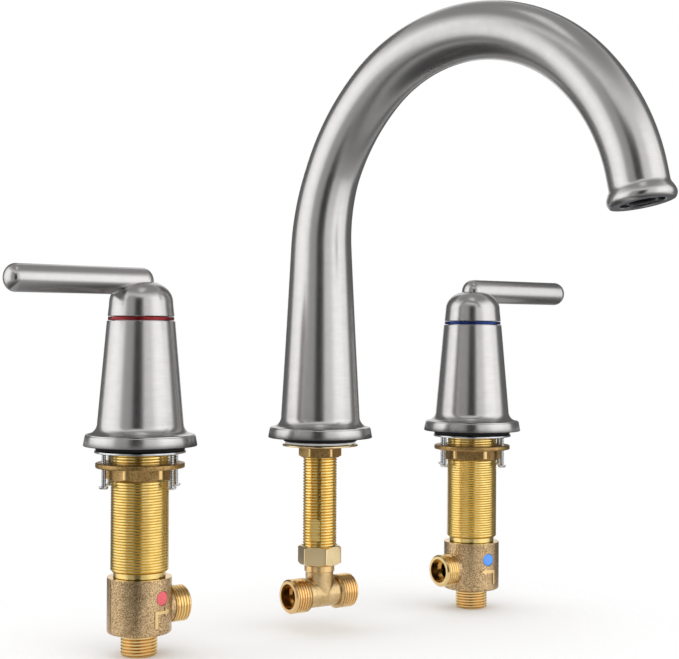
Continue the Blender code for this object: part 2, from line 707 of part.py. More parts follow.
def screw_angles():
    """Two pairs of jack screws, left and right of the nut as it is seen from the front left."""
    right = VIEWED_FROM + math.pi / 2
    return [
        right - SCREW_PAIR_ANGLE, right + SCREW_PAIR_ANGLE,
        right + math.pi - SCREW_PAIR_ANGLE, right + math.pi + SCREW_PAIR_ANGLE,
    ]


def build_deck_fixings(group):
    ring_bore = around(WIDE_RADIUS, LARGE_SIDES)
    gasket = tube(ring_bore, GASKET_RADIUS, GASKET_BOTTOM, GASKET_BOTTOM + GASKET_HEIGHT)
    turned(f"{group}_deck_gasket", gasket, group, "black_rubber", LARGE_SIDES)
    washer = tube(ring_bore, WASHER_RADIUS, WASHER_BOTTOM, WASHER_BOTTOM + WASHER_HEIGHT)
    turned(f"{group}_clamp_washer", washer, group, "plated_steel", LARGE_SIDES)

    corners = hexagon(NUT_FLAT_WIDTH, VIEWED_FROM + VALVES[group]["nut_turn"])
    nut = prism(f"{group}_mounting_nut", corners, NUT_BOTTOM, NUT_TOP - NUT_CHAMFER, group, "forged_brass")
    flange = rod(NUT_FLANGE_RADIUS, NUT_FLANGE_BOTTOM, NUT_TOP)
    combine(nut, turned(f"{group}_nut_flange_guide", flange, group, None, LARGE_SIDES), "UNION")
    bore_cut = rod(around(WIDE_RADIUS), NUT_BOTTOM - OVERRUN, NUT_TOP + OVERRUN)
    combine(nut, turned(f"{group}_nut_bore_cutter", bore_cut, group), "DIFFERENCE")

    tip = WASHER_BOTTOM - GAP
    head_top = NUT_BOTTOM - SCREW_TAIL
    head_bottom = head_top - SCREW_HEAD_HEIGHT
    crown = SCREW_HEAD_RADIUS / 2
    screw = [
        (0.0, head_bottom), (crown, head_bottom), (SCREW_HEAD_RADIUS, head_bottom + SCREW_HEAD_HEIGHT / 2),
        (SCREW_HEAD_RADIUS, head_top), (SCREW_RADIUS, head_top), (SCREW_RADIUS, tip), (0.0, tip),
    ]
    hole = rod(around(SCREW_RADIUS, SMALL_SIDES), NUT_FLANGE_BOTTOM - OVERRUN, NUT_TOP + OVERRUN)
    for number, angle in enumerate(screw_angles(), 1):
        x = SCREW_CIRCLE_RADIUS * math.cos(angle)
        y = SCREW_CIRCLE_RADIUS * math.sin(angle)
        place = Matrix.Translation((x, y, 0))
        turned(f"{group}_jack_screw_{number}", screw, group, "plated_steel", SMALL_SIDES, place)
        cutter = turned(f"{group}_jack_cutter_{number}", hole, group, None, SMALL_SIDES, place)
        combine(nut, cutter, "DIFFERENCE")


def stepped_bore(inner_end, face):
    """Outline of a connection's bore: a wide mouth at the face, a narrower throat behind it."""
    shoulder = face - MOUTH_DEPTH
    return [
        (0.0, inner_end), (THROAT_RADIUS, inner_end), (THROAT_RADIUS, shoulder),
        (MOUTH_RADIUS, shoulder), (MOUTH_RADIUS, face + OVERRUN), (0.0, face + OVERRUN),
    ]


def build_valve_body(group):
    valve = VALVES[group]
    socket = around(SHANK_BORE_RADIUS + SHANK_SOCKET_WALL, LARGE_SIDES)
    socket_bottom = BODY_TOP - SHANK_SOCKET_DEPTH
    riser_socket = around(RISER_RADIUS, LARGE_SIDES)
    outline = [
        (MOUTH_RADIUS, NOZZLE_BOTTOM),
        *threaded(HALF_RADIUS, NOZZLE_BOTTOM, BODY_BOTTOM),
        (BODY_RADIUS - BODY_EDGE, BODY_BOTTOM),
        (BODY_RADIUS, BODY_BOTTOM + BODY_EDGE),
        (BODY_RADIUS, BODY_TOP - BODY_EDGE),
        (BODY_RADIUS - BODY_EDGE, BODY_TOP),
        (socket, BODY_TOP),
        (socket, socket_bottom),
        (CHAMBER_RADIUS, socket_bottom),
        (CHAMBER_RADIUS, CHAMBER_BOTTOM),
        (riser_socket, CHAMBER_BOTTOM),
        (riser_socket, CHAMBER_BOTTOM - RISER_SOCKET_DEPTH),
        (THROAT_RADIUS, CHAMBER_BOTTOM - RISER_SOCKET_DEPTH),
        (THROAT_RADIUS, NOZZLE_BOTTOM + MOUTH_DEPTH),
        (MOUTH_RADIUS, NOZZLE_BOTTOM + MOUTH_DEPTH),
    ]
    body = turned(f"{group}_valve_body", outline, group, "cast_brass", LARGE_SIDES)

    # The outlet towards the spout
    stub_level = Matrix.Translation((0, 0, BODY_TOP - STUB_DROP))
    inwards = stub_level @ Matrix.Rotation(-valve["side"] * math.pi / 2, 4, "Y") @ half_facet(SIDES)
    start = (BODY_RADIUS + CHAMBER_RADIUS) / 2 - BODY_EDGE
    stub = [(0.0, start), *threaded(HALF_RADIUS, start, STUB_REACH), (0.0, STUB_REACH)]
    combine(body, turned(f"{group}_stub_guide", stub, group, None, SIDES, inwards), "UNION")
    bore = stepped_bore(CHAMBER_RADIUS - 2 * OVERRUN, STUB_REACH)
    bore_cutter = turned(f"{group}_stub_bore_cutter", bore, group, None, SIDES, inwards)
    combine(body, bore_cutter, "DIFFERENCE")

    # The raised flow arrow: up the stem, then sideways to the outlet
    mark_side = Matrix.Rotation(valve["mark_turn"], 4, "Z")
    upright = Matrix.Rotation(math.pi / 2, 4, "X")
    facing = mark_side @ upright @ Matrix.Rotation(math.pi / 2, 4, "Y")
    way = valve["arrow_way"]
    level = BODY_TOP - ARROW_DROP
    half = ARROW_WIDTH / 2
    start_x = -way * ARROW_LENGTH / 2
    neck_x = start_x + way * (ARROW_LENGTH - ARROW_HEAD_LENGTH)
    arrow = [
        (start_x, level + half - ARROW_STEM_LENGTH),
        (start_x + way * ARROW_WIDTH, level + half - ARROW_STEM_LENGTH),
        (start_x + way * ARROW_WIDTH, level - half),
        (neck_x, level - half),
        (neck_x, level - ARROW_HEAD_WIDTH / 2),
        (start_x + way * ARROW_LENGTH, level),
        (neck_x, level + ARROW_HEAD_WIDTH / 2),
        (neck_x, level + half),
        (start_x, level + half),
    ]
    mark = prism(f"{group}_arrow_guide", arrow, 0.0, BODY_RADIUS + OVERRUN, group, None, facing)
    shell = tube(
        BODY_RADIUS - BODY_EDGE, BODY_RADIUS + MARK_HEIGHT, BODY_BOTTOM - OVERRUN, BODY_TOP + OVERRUN,
    )
    combine(mark, turned(f"{group}_mark_shell_guide", shell, group, None, LARGE_SIDES), "INTERSECT")
    combine(body, mark, "UNION")

    # The coloured dot sits in a shallow round recess
    dot_level = Matrix.Translation((0, 0, BODY_TOP - DOT_DROP))
    dot_place = mark_side @ dot_level @ Matrix.Rotation(math.pi / 2, 4, "Y")
    floor = BODY_RADIUS - DOT_RECESS
    recess = rod(around(DOT_RADIUS, SIDES), floor, BODY_RADIUS + OVERRUN)
    combine(body, turned(f"{group}_dot_cutter", recess, group, None, SIDES, dot_place), "DIFFERENCE")
    dot = rod(DOT_RADIUS, floor + GAP, floor + GAP + DOT_THICKNESS)
    turned(f"{group}_colour_dot", dot, group, valve["colour"], SIDES, dot_place)


def spout_path(distance):
    """Where the spout's centre line is, and how far it leans, at a distance along it."""
    if distance <= SPOUT_RISE:
        return 0.0, distance, 0.0
    reach, height, lean = 0.0, SPOUT_RISE, 0.0
    left = distance - SPOUT_RISE
    bends = (
        (FIRST_BEND_RADIUS, FIRST_BEND_ANGLE),
        (MAIN_BEND_RADIUS, MAIN_BEND_ANGLE),
        (LAST_BEND_RADIUS, LAST_BEND_ANGLE),
    )
    for radius, angle in bends:
        swept = min(left / radius, angle)
        reach += radius * (math.cos(lean) - math.cos(lean + swept))
        height += radius * (math.sin(lean + swept) - math.sin(lean))
        lean += swept
        left -= swept * radius
        if left <= MERGE:
            return reach, height, lean
    return reach + left * math.sin(lean), height + left * math.cos(lean), lean


SPOUT_LENGTH = (
    SPOUT_RISE + FIRST_BEND_RADIUS * FIRST_BEND_ANGLE + MAIN_BEND_RADIUS * MAIN_BEND_ANGLE
    + LAST_BEND_RADIUS * LAST_BEND_ANGLE + OUTLET_STRAIGHT
)


def spout_radius(distance):
    """Outer radius of the gooseneck: a taper that dies out into a plain tube."""
    share = min(max((distance - COVE_TOP) / TAPER_LENGTH, 0.0), 1.0)
    return TUBE_RADIUS + (SKIRT_RADIUS - TUBE_RADIUS) * (1 - share) ** TAPER_POWER


def bend_distances(first, last):
    """Distances between two ends: close together in the bends, further apart in the rise."""
    places = [first]
    taper = first
    while taper + TAPER_LENGTH / TAPER_STEPS < SPOUT_RISE:
        taper += TAPER_LENGTH / TAPER_STEPS
        places.append(taper)
    place = SPOUT_RISE
    while place < last - MAIN_BEND_RADIUS * BEND_STEP / 2:
        places.append(place)
        place += MAIN_BEND_RADIUS * BEND_STEP
    return places + [last]


def build_spout(group):
    bead_top = SPOUT_LENGTH - BEAD_HEIGHT
    stations = [(height, radius) for radius, height in foot_points()][:-1]
    stations += [(place, spout_radius(place)) for place in bend_distances(COVE_TOP, bead_top - BEAD_FLARE)]
    for share, swell in reversed(BEAD_SHARES):
        stations.append((
            SPOUT_LENGTH - BEAD_HEIGHT * share,
            BEAD_FACE_RADIUS + (BEAD_RADIUS - BEAD_FACE_RADIUS) * swell,
        ))
    seat_end = SPOUT_LENGTH - OUTLET_DEPTH - AERATOR_SEAT_DEPTH
    throat_end = seat_end - OUTLET_THROAT_DEPTH
    stations += [
        (SPOUT_LENGTH, OUTLET_RADIUS),
        (SPOUT_LENGTH - OUTLET_DEPTH, OUTLET_RADIUS),
        (SPOUT_LENGTH - OUTLET_DEPTH, AERATOR_SEAT_RADIUS),
        (seat_end, AERATOR_SEAT_RADIUS),
        (seat_end, OUTLET_THROAT_RADIUS),
        (throat_end, OUTLET_THROAT_RADIUS),
    ]
    inside = bend_distances(COVE_TOP, throat_end)
    stations += [(place, spout_radius(place) - TUBE_WALL) for place in reversed(inside)]
    base_bore = around(BASE_RADIUS, LARGE_SIDES)
    stations += [(BASE_HEIGHT + GAP, base_bore), (RIM_DEPTH, base_bore)]

    mesh = bmesh.new()
    rings = []
    for distance, radius in stations:
        reach, height, lean = spout_path(distance)
        place = Matrix.Translation((reach, 0, height)) @ Matrix.Rotation(lean, 4, "Y")
        ring = bmesh.ops.create_circle(mesh, segments=LARGE_SIDES, radius=radius, matrix=place)
        rings.append(ring["verts"])
    for ring, following in zip(rings, rings[1:] + rings[:1]):
        for i in range(LARGE_SIDES):
            j = (i + 1) % LARGE_SIDES
            mesh.faces.new((ring[i], ring[j], following[j], following[i]))
    finish_object("spout", mesh, group, "brushed_nickel")

    # The aerator screws in from below: a seal on the shoulder, a notched housing, and its core
    reach, height, lean = spout_path(SPOUT_LENGTH)
    mouth = Matrix.Translation((reach, 0, height)) @ Matrix.Rotation(lean + math.pi, 4, "Y")
    outer = within(AERATOR_SEAT_RADIUS, LARGE_SIDES)
    top = OUTLET_DEPTH + AERATOR_SEAT_DEPTH - GAP
    seal_bottom = top - AERATOR_SEAL_HEIGHT
    seal = tube(OUTLET_THROAT_RADIUS, outer, seal_bottom, top)
    turned("aerator_seal", seal, group, "black_rubber", SIDES, mouth)
    inner = outer - AERATOR_WALL
    housing_bottom = OUTLET_DEPTH
    housing_top = seal_bottom - GAP
    housing = turned(
        "aerator_housing", tube(inner, outer, housing_bottom, housing_top), group, "black_plastic",
        SIDES, mouth,
    )
    for number in range(2):
        notch_place = mouth @ Matrix.Rotation(math.pi / 4 + number * math.pi / 2, 4, "Z")
        notch = block(
            f"aerator_notch_cutter_{number}",
            (2 * outer + 2 * OVERRUN, AERATOR_NOTCH_WIDTH, 2 * AERATOR_NOTCH_DEPTH),
            (0, 0, housing_bottom), group, notch_place,
        )
        combine(housing, notch, "DIFFERENCE")
    core = rod(within(inner), housing_bottom + AERATOR_CORE_RECESS, housing_top)
    turned("aerator_core", core, group, "black_plastic", SIDES, mouth)


def build_spout_fixings(group):
    shank_top = BASE_HEIGHT - BASE_SHOULDER
    bore = around(HALF_RADIUS, LARGE_SIDES)
    shank_bore = HALF_RADIUS - SHANK_WALL
    base = [
        (bore, RIM_DEPTH), (BASE_RADIUS, RIM_DEPTH), (BASE_RADIUS, BASE_HEIGHT), (shank_bore, BASE_HEIGHT),
        (shank_bore, shank_top), (bore, shank_top),
    ]
    turned("spout_base", base, group, "forged_brass", LARGE_SIDES)

    gasket_bottom = RIM_DEPTH - GAP - SPOUT_GASKET_HEIGHT
    spacer_bottom = gasket_bottom - GAP - SPACER_HEIGHT
    clamp_bottom = spacer_bottom - GAP - CLAMP_HEIGHT
    nut_top = clamp_bottom - GAP
    nut_bottom = nut_top - SPOUT_NUT_HEIGHT
    gasket = tube(bore, SPOUT_GASKET_RADIUS, gasket_bottom, gasket_bottom + SPOUT_GASKET_HEIGHT)
    turned("spout_gasket", gasket, group, "black_rubber", LARGE_SIDES)
    spacer = tube(bore, SPACER_RADIUS, spacer_bottom, spacer_bottom + SPACER_HEIGHT)
    turned("spout_spacer", spacer, group, "white_nylon", LARGE_SIDES)
    clamp = turned(
        "spout_clamp_washer", tube(bore, CLAMP_RADIUS, clamp_bottom, clamp_bottom + CLAMP_HEIGHT),
        group, "forged_brass", LARGE_SIDES,
    )
    notch = block(
        "clamp_notch_cutter", (2 * CLAMP_NOTCH, CLAMP_NOTCH, CLAMP_HEIGHT + 2 * OVERRUN),
        (CLAMP_RADIUS, 0, clamp_bottom + CLAMP_HEIGHT / 2), group,
        Matrix.Rotation(VIEWED_FROM + math.pi / 3, 4, "Z"),
    )
    combine(clamp, notch, "DIFFERENCE")
    nut = prism(
        "spout_nut", hexagon(SPOUT_NUT_FLAT_WIDTH, VIEWED_FROM + SPOUT_NUT_TURN), nut_bottom, nut_top,
        group, "forged_brass",
    )
    chamfered("spout_nut_chamfer_guide", nut, SPOUT_NUT_FLAT_WIDTH, nut_bottom, nut_top, group)
    nut_bore = turned("spout_nut_bore_cutter", rod(bore, nut_bottom - OVERRUN, nut_top + OVERRUN), group)
    combine(nut, nut_bore, "DIFFERENCE")

    shank_end = shank_top - GAP
    outline = [
        (shank_bore, -SHANK_LENGTH),
        *threaded(HALF_RADIUS, -SHANK_LENGTH, shank_end),
        (shank_bore, shank_end),
    ]
    shank = turned("spout_shank", outline, group, "machined_brass")
    flat_depth = HALF_RADIUS - math.sqrt(HALF_RADIUS ** 2 - (FLAT_WIDTH / 2) ** 2)
    flat = block(
        "shank_flat_cutter", (2 * flat_depth, FLAT_WIDTH, FLAT_HEIGHT), (HALF_RADIUS, 0, -FLAT_DROP), group,
        Matrix.Rotation(FLAT_TURN, 4, "Z"),
    )
    combine(shank, flat, "DIFFERENCE")


def build_tee(group):
    bore = around(HALF_RADIUS)
    union_top = -UNION_DROP
    union_bottom = union_top - UNION_HEIGHT
    lip_top = union_bottom + UNION_LIP
    lip_bore = around(TEE_NECK_RADIUS)
    nut = prism(
        "union_nut", hexagon(UNION_FLAT_WIDTH, VIEWED_FROM + UNION_TURN), union_bottom, union_top,
        group, "forged_brass",
    )
    chamfered("union_nut_chamfer_guide", nut, UNION_FLAT_WIDTH, union_bottom, union_top, group)
    inside = [
        (0.0, union_bottom - OVERRUN), (lip_bore, union_bottom - OVERRUN), (lip_bore, lip_top),
        (bore, lip_top), (bore, union_top + OVERRUN), (0.0, union_top + OVERRUN),
    ]
    combine(nut, turned("union_nut_bore_cutter", inside, group), "DIFFERENCE")

    gasket_top = -SHANK_LENGTH - GAP
    gasket_bottom = gasket_top - UNION_GASKET_HEIGHT
    turned(
        "union_gasket", tube(THROAT_RADIUS, TEE_FLANGE_RADIUS, gasket_bottom, gasket_top), group,
        "black_rubber",
    )
    flange_top = gasket_bottom - GAP
    neck_top = lip_top + GAP
    collar_top = union_bottom - GAP
    collar_bottom = collar_top - TEE_COLLAR_HEIGHT
    branch_foot = -TEE_DROP - THROAT_RADIUS / 3
    branch = [
        (0.0, branch_foot), (TEE_BRANCH_RADIUS, branch_foot), (TEE_BRANCH_RADIUS, collar_bottom),
        (TEE_COLLAR_RADIUS, collar_bottom), (TEE_COLLAR_RADIUS, collar_top),
        (TEE_NECK_RADIUS, collar_top), (TEE_NECK_RADIUS, neck_top), (TEE_FLANGE_RADIUS, neck_top),
        (TEE_FLANGE_RADIUS, flange_top), (0.0, flange_top),
    ]
    along = Matrix.Translation((0, 0, -TEE_DROP)) @ Matrix.Rotation(math.pi / 2, 4, "Y")
    thread_end = TEE_REACH - TEE_THREAD_LENGTH
    run = [
        (0.0, -TEE_REACH),
        *threaded(HALF_RADIUS, -TEE_REACH, -thread_end),
        (TEE_RUN_RADIUS, -thread_end),
        (TEE_RUN_RADIUS, thread_end),
        *threaded(HALF_RADIUS, thread_end, TEE_REACH),
        (0.0, TEE_REACH),
    ]
    tee = turned("tee", run, group, "forged_brass", SIDES, along)
    combine(tee, turned("tee_branch_guide", branch, group, None, SIDES, half_facet(SIDES)), "UNION")
    shoulder = TEE_REACH - MOUTH_DEPTH
    run_bore = [
        (0.0, -TEE_REACH - OVERRUN), (MOUTH_RADIUS, -TEE_REACH - OVERRUN), (MOUTH_RADIUS, -shoulder),
        (THROAT_RADIUS, -shoulder), (THROAT_RADIUS, shoulder), (MOUTH_RADIUS, shoulder),
        (MOUTH_RADIUS, TEE_REACH + OVERRUN), (0.0, TEE_REACH + OVERRUN),
    ]
    combine(tee, turned("tee_run_cutter", run_bore, group, None, SIDES, along), "DIFFERENCE")
    rise_bore = rod(TEE_RISE_RADIUS, branch_foot, flange_top + OVERRUN)
    rise_cutter = turned("tee_branch_cutter", rise_bore, group, None, SIDES, half_facet(SIDES))
    combine(tee, rise_cutter, "DIFFERENCE")


def build_valve(group):
    make_group(group, (VALVES[group]["side"] * SPREAD, 0, 0))
    build_escutcheon(group)
    build_indicator_ring(group)
    build_handle(group)
    build_cartridge(group)
    build_shank(group)
    build_deck_fixings(group)
    build_valve_body(group)


clear_scene()
make_materials()
for valve_name in VALVES:
    build_valve(valve_name)
make_group("spout_turned", (0, 0, 0), SPOUT_TURN - math.pi / 2)
build_spout("spout_turned")
make_group("spout_fixings", (0, 0, 0))
build_spout_fixings("spout_fixings")
build_tee("spout_fixings")
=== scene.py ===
import json
import math

import bpy
from mathutils import Matrix, Vector


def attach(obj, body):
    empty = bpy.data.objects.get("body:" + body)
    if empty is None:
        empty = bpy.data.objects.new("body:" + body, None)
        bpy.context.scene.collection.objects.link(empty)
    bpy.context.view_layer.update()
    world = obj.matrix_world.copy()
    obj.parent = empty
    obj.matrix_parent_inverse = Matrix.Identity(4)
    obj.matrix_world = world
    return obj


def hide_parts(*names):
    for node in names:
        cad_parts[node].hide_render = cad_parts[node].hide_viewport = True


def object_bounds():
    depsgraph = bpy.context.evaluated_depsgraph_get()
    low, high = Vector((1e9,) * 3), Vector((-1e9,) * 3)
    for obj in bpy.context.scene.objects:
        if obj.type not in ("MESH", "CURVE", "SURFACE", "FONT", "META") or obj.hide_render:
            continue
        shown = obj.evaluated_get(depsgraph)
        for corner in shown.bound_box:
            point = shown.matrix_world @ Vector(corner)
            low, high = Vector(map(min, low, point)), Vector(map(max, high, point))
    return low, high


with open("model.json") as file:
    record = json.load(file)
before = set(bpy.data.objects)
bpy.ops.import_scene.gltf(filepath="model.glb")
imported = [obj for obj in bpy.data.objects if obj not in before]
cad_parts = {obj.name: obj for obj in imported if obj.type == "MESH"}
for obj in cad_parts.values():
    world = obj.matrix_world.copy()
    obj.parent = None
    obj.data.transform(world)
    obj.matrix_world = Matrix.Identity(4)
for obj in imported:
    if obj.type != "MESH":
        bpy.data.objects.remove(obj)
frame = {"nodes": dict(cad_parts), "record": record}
cadBox = [list(corner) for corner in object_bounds()]
print("frame loaded")

overrun = 0.001  # how far a cutter stands out of what it cuts
hairline = 0.0001  # a cutter's own edge, too small to show, and the margin for telling faces apart
weldDistance = 0.000001
millimetre = 0.001
sharpAngle = math.radians(32)  # an edge sharper than this stays sharp
edgeSteps = 4  # facets round a small rounded edge
turnedSides = 96  # facets round a turned piece
roundSides = 128  # and round the big nickel ones


# Finishes

def linear(hexColour):  # an sRGB hex colour as the linear values that a shader takes
    parts = [int(hexColour[i:i + 2], 16) / 255 for i in (1, 3, 5)]
    return tuple(p / 12.92 if p <= 0.04045 else ((p + 0.055) / 1.055) ** 2.4 for p in parts) + (1.0,)


def addNode(tree, kind, settings=None, inputs=None):
    node = tree.nodes.new(kind)
    for key, value in (settings or {}).items():
        setattr(node, key, value)
    for key, value in (inputs or {}).items():
        if isinstance(value, bpy.types.NodeSocket):
            tree.links.new(value, node.inputs[key])
        else:
            node.inputs[key].default_value = value
    return node


# grain is the size of the finish's pattern in mm along x, y and z, and depth its height in mm.
# colours run from the pattern's low places to its high ones.
finishes = {
    # Satin nickel plate on turned brass: fine rings round the piece make long soft highlights.
    # The rings are about 0.05 mm apart in life and are drawn coarser, so that they show.
    # The outlet's flat face is given a darker, duller grey
    "brushedNickel": {"slot": "brushed_nickel", "metallic": 1.0, "roughness": (0.23, 0.27), "lathe": True,
                      "colours": ("#bfbdbc", "#c6c4c3"), "grain": (9.0, 9.0, 0.35), "depth": 0.0009,
                      "machined": ("#84828a", 0.42)},
    # Brass straight from the lathe: yellow and bright, with faint tool rings
    "turnedBrass": {"slot": "machined_brass", "metallic": 1.0, "roughness": (0.2, 0.28),
                    "colours": ("#e6c878", "#f4dc98"), "grain": (5.0, 5.0, 0.4), "depth": 0.002},
    # Brass as it leaves the sand mould: brown, dull and grainy, and bright where a tool has cut it, and on
    # the raised arrow's face, which is a painted highlight
    "sandCastBrass": {"slot": "cast_brass", "metallic": 1.0, "roughness": (0.22, 0.35), "patches": 0.12,
                      "colours": ("#76593a", "#e8ca9c"), "grain": (0.8, 0.8, 0.8), "depth": 0.095,
                      "machined": ("#e6c88e", 0.22)},
    # The big nuts come from the same mould sand, and their corners are painted pale and made smoother: a
    # painted highlight
    "castNutBrass": {"slot": "forged_brass", "metallic": 1.0, "roughness": (0.3, 0.46), "patches": 0.2,
                     "colours": ("#7f6238", "#c9a66d"), "grain": (1.0, 1.0, 1.0), "depth": 0.08,
                     "machined": ("#e0be80", 0.3)},
    # Hexagons milled from bar, and pressed sheet: smooth, pale and clean
    "milledBrass": {"slot": "forged_brass", "metallic": 1.0, "roughness": (0.2, 0.28),
                    "colours": ("#dcc394", "#e8d2a4"), "grain": (0.9, 0.9, 0.9), "depth": 0.004},
    # Hot pressed brass, tumbled clean: between the cast and the milled
    "forgedBrass": {"slot": "forged_brass", "metallic": 1.0, "roughness": (0.24, 0.36),
                    "colours": ("#bb9c6b", "#dcc293"), "grain": (0.9, 0.9, 0.9), "depth": 0.02,
                    "machined": ("#e2be86", 0.22)},
    # Bright zinc on steel screws and washers
    "brightZinc": {"slot": "plated_steel", "metallic": 1.0, "roughness": (0.18, 0.3),
                   "colours": ("#bcbec0", "#d6d8da"), "grain": (0.8, 0.8, 0.8), "depth": 0.003},
    # Pressed rubber, matt black with a fine mould grain
    "blackRubber": {"slot": "black_rubber", "metallic": 0.0, "roughness": (0.7, 0.85),
                    "colours": ("#030304", "#08080a"), "grain": (0.5, 0.5, 0.5), "depth": 0.02},
    # Moulded nylon, milky and slightly waxy
    "whiteNylon": {"slot": "white_nylon", "metallic": 0.0, "roughness": (0.4, 0.52),
                   "colours": ("#f2f0ea", "#fbfaf6"), "grain": (1.2, 1.2, 1.2), "depth": 0.01},
    # The aerator's housing is a shade lighter than its core, so that its ring shows in the dark mouth
    "greyAcetal": {"slot": "black_plastic", "metallic": 0.0, "roughness": (0.3, 0.4),
                   "colours": ("#26262a", "#343438"), "grain": (0.8, 0.8, 0.8), "depth": 0.01},
    # Moulded acetal, black with a low gloss
    "blackAcetal": {"slot": "black_plastic", "metallic": 0.0, "roughness": (0.36, 0.48),
                    "colours": ("#09090b", "#131316"), "grain": (0.8, 0.8, 0.8), "depth": 0.01},
    # Lapped alumina discs, smooth and off-white
    "lappedAlumina": {"slot": "white_ceramic", "metallic": 0.0, "roughness": (0.1, 0.18),
                      "colours": ("#e2dfd6", "#efede6"), "grain": (0.6, 0.6, 0.6), "depth": 0.002},
    # The rings' clear enamel lets the metal shine through, so that it darkens where the nickel does
    "redRingEnamel": {"slot": "red_enamel", "metallic": 0.8, "roughness": (0.24, 0.3),
                      "colours": ("#7c2226", "#8a282c"), "grain": (1.5, 1.5, 1.5), "depth": 0.004},
    "blueRingEnamel": {"slot": "blue_enamel", "metallic": 0.8, "roughness": (0.24, 0.3),
                       "colours": ("#1c2f62", "#24397a"), "grain": (1.5, 1.5, 1.5), "depth": 0.004},
    # Air drying paint on the bodies' dots, paler and flatter than the enamel
    "redPaint": {"slot": "red_enamel", "metallic": 0.0, "roughness": (0.45, 0.6),
                 "colours": ("#dc5560", "#ec6b74"), "grain": (0.8, 0.8, 0.8), "depth": 0.02},
    "bluePaint": {"slot": "blue_enamel", "metallic": 0.0, "roughness": (0.45, 0.6),
                  "colours": ("#4c8eec", "#62a2fa"), "grain": (0.8, 0.8, 0.8), "depth": 0.02},
}
# The noise that the finishes share. A patch is about 6 mm across, as tarnish and handling leave it
pattern = {"detail": 4.0, "roughness": 0.6, "patchScale": 160.0, "patchDetail": 2.0, "patches": 0.35,
           "lowest": 0.34, "highest": 0.66, "flat": 0.5}


def makeFinish(name, facts):
    material = bpy.data.materials.new(name)
    material.use_nodes = True
    tree = material.node_tree
    shader = tree.nodes["Principled BSDF"]
    if facts.get("lathe"):  # the pattern follows the piece as it stood on the lathe, before it was bent
        spot = addNode(tree, "ShaderNodeAttribute", {"attribute_name": "lathe"}).outputs["Vector"]
    else:
        spot = addNode(tree, "ShaderNodeTexCoord").outputs["Object"]
    stretch = tuple(1 / (size * millimetre) for size in facts["grain"])
    mapping = addNode(tree, "ShaderNodeMapping", {"vector_type": "POINT"}, {"Vector": spot, "Scale": stretch})
    grain = addNode(tree, "ShaderNodeTexNoise", None,
                    {"Vector": mapping.outputs["Vector"], "Scale": 1.0, "Detail": pattern["detail"],
                     "Roughness": pattern["roughness"]}).outputs["Fac"]
    patches = addNode(tree, "ShaderNodeTexNoise", None,
                      {"Vector": spot, "Scale": pattern["patchScale"],
                       "Detail": pattern["patchDetail"]}).outputs["Fac"]
    both = addNode(tree, "ShaderNodeMix", {"data_type": "FLOAT"},
                   {0: facts.get("patches", pattern["patches"]), 2: grain, 3: patches}).outputs[0]
    low, high = [linear(colour) for colour in facts["colours"]]
    share = addNode(tree, "ShaderNodeMapRange", None,
                    {"Value": both, "From Min": pattern["lowest"],
                     "From Max": pattern["highest"]}).outputs["Result"]
    tint = addNode(tree, "ShaderNodeMix", {"data_type": "RGBA"}, {0: share, 6: low, 7: high}).outputs[2]
    smooth, rough = facts["roughness"]
    polish = addNode(tree, "ShaderNodeMapRange", None,
                     {"Value": share, "To Min": rough, "To Max": smooth}).outputs["Result"]
    height = grain
    if facts.get("machined"):  # a cut thread or face is smooth and has the metal's own colour. The same mask paints a highlight pale on the nuts' corners and the cast arrow's face, and paints the outlet's face a darker grey
        bright, fine = facts["machined"]
        cutAndHighlitMask = addNode(tree, "ShaderNodeAttribute", {"attribute_name": "machined"}).outputs["Fac"]
        tint = addNode(tree, "ShaderNodeMix", {"data_type": "RGBA"},
                       {0: cutAndHighlitMask, 6: tint, 7: linear(bright)}).outputs[2]
        polish = addNode(tree, "ShaderNodeMix", {"data_type": "FLOAT"},
                         {0: cutAndHighlitMask, 2: polish, 3: fine}).outputs[0]
        height = addNode(tree, "ShaderNodeMix", {"data_type": "FLOAT"},
                         {0: cutAndHighlitMask, 2: height, 3: pattern["flat"]}).outputs[0]
    bump = addNode(tree, "ShaderNodeBump", None,
                   {"Height": height, "Distance": facts["depth"] * millimetre, "Strength": 1.0})
    tree.links.new(tint, shader.inputs["Base Color"])
    tree.links.new(polish, shader.inputs["Roughness"])
    tree.links.new(bump.outputs["Normal"], shader.inputs["Normal"])
    shader.inputs["Metallic"].default_value = facts["metallic"]
    return material


materials = {name: makeFinish(name, facts) for name, facts in finishes.items()}
print("finishes made:", len(materials))


# Shaping tools

def makeActive(piece):
    if bpy.context.mode != "OBJECT":
        bpy.ops.object.mode_set(mode="OBJECT")
    bpy.ops.object.select_all(action="DESELECT")
    piece.select_set(True)
    bpy.context.view_layer.objects.active = piece


def tracePath(name, points):  # a plane shrunk to one point, then drawn out from point to point
    bpy.ops.object.select_all(action="DESELECT")
    bpy.ops.mesh.primitive_plane_add(size=overrun)
    piece = bpy.context.active_object
    piece.name = piece.data.name = name
    bpy.ops.object.mode_set(mode="EDIT")
    bpy.ops.mesh.select_all(action="SELECT")
    bpy.ops.mesh.merge(type="CENTER")
    bpy.ops.transform.translate(value=points[0])
    for start, end in zip(points, points[1:]):
        step = tuple(b - a for a, b in zip(start, end))
        bpy.ops.mesh.extrude_region_move(TRANSFORM_OT_translate={"value": step})
    bpy.ops.mesh.select_all(action="SELECT")
    return piece


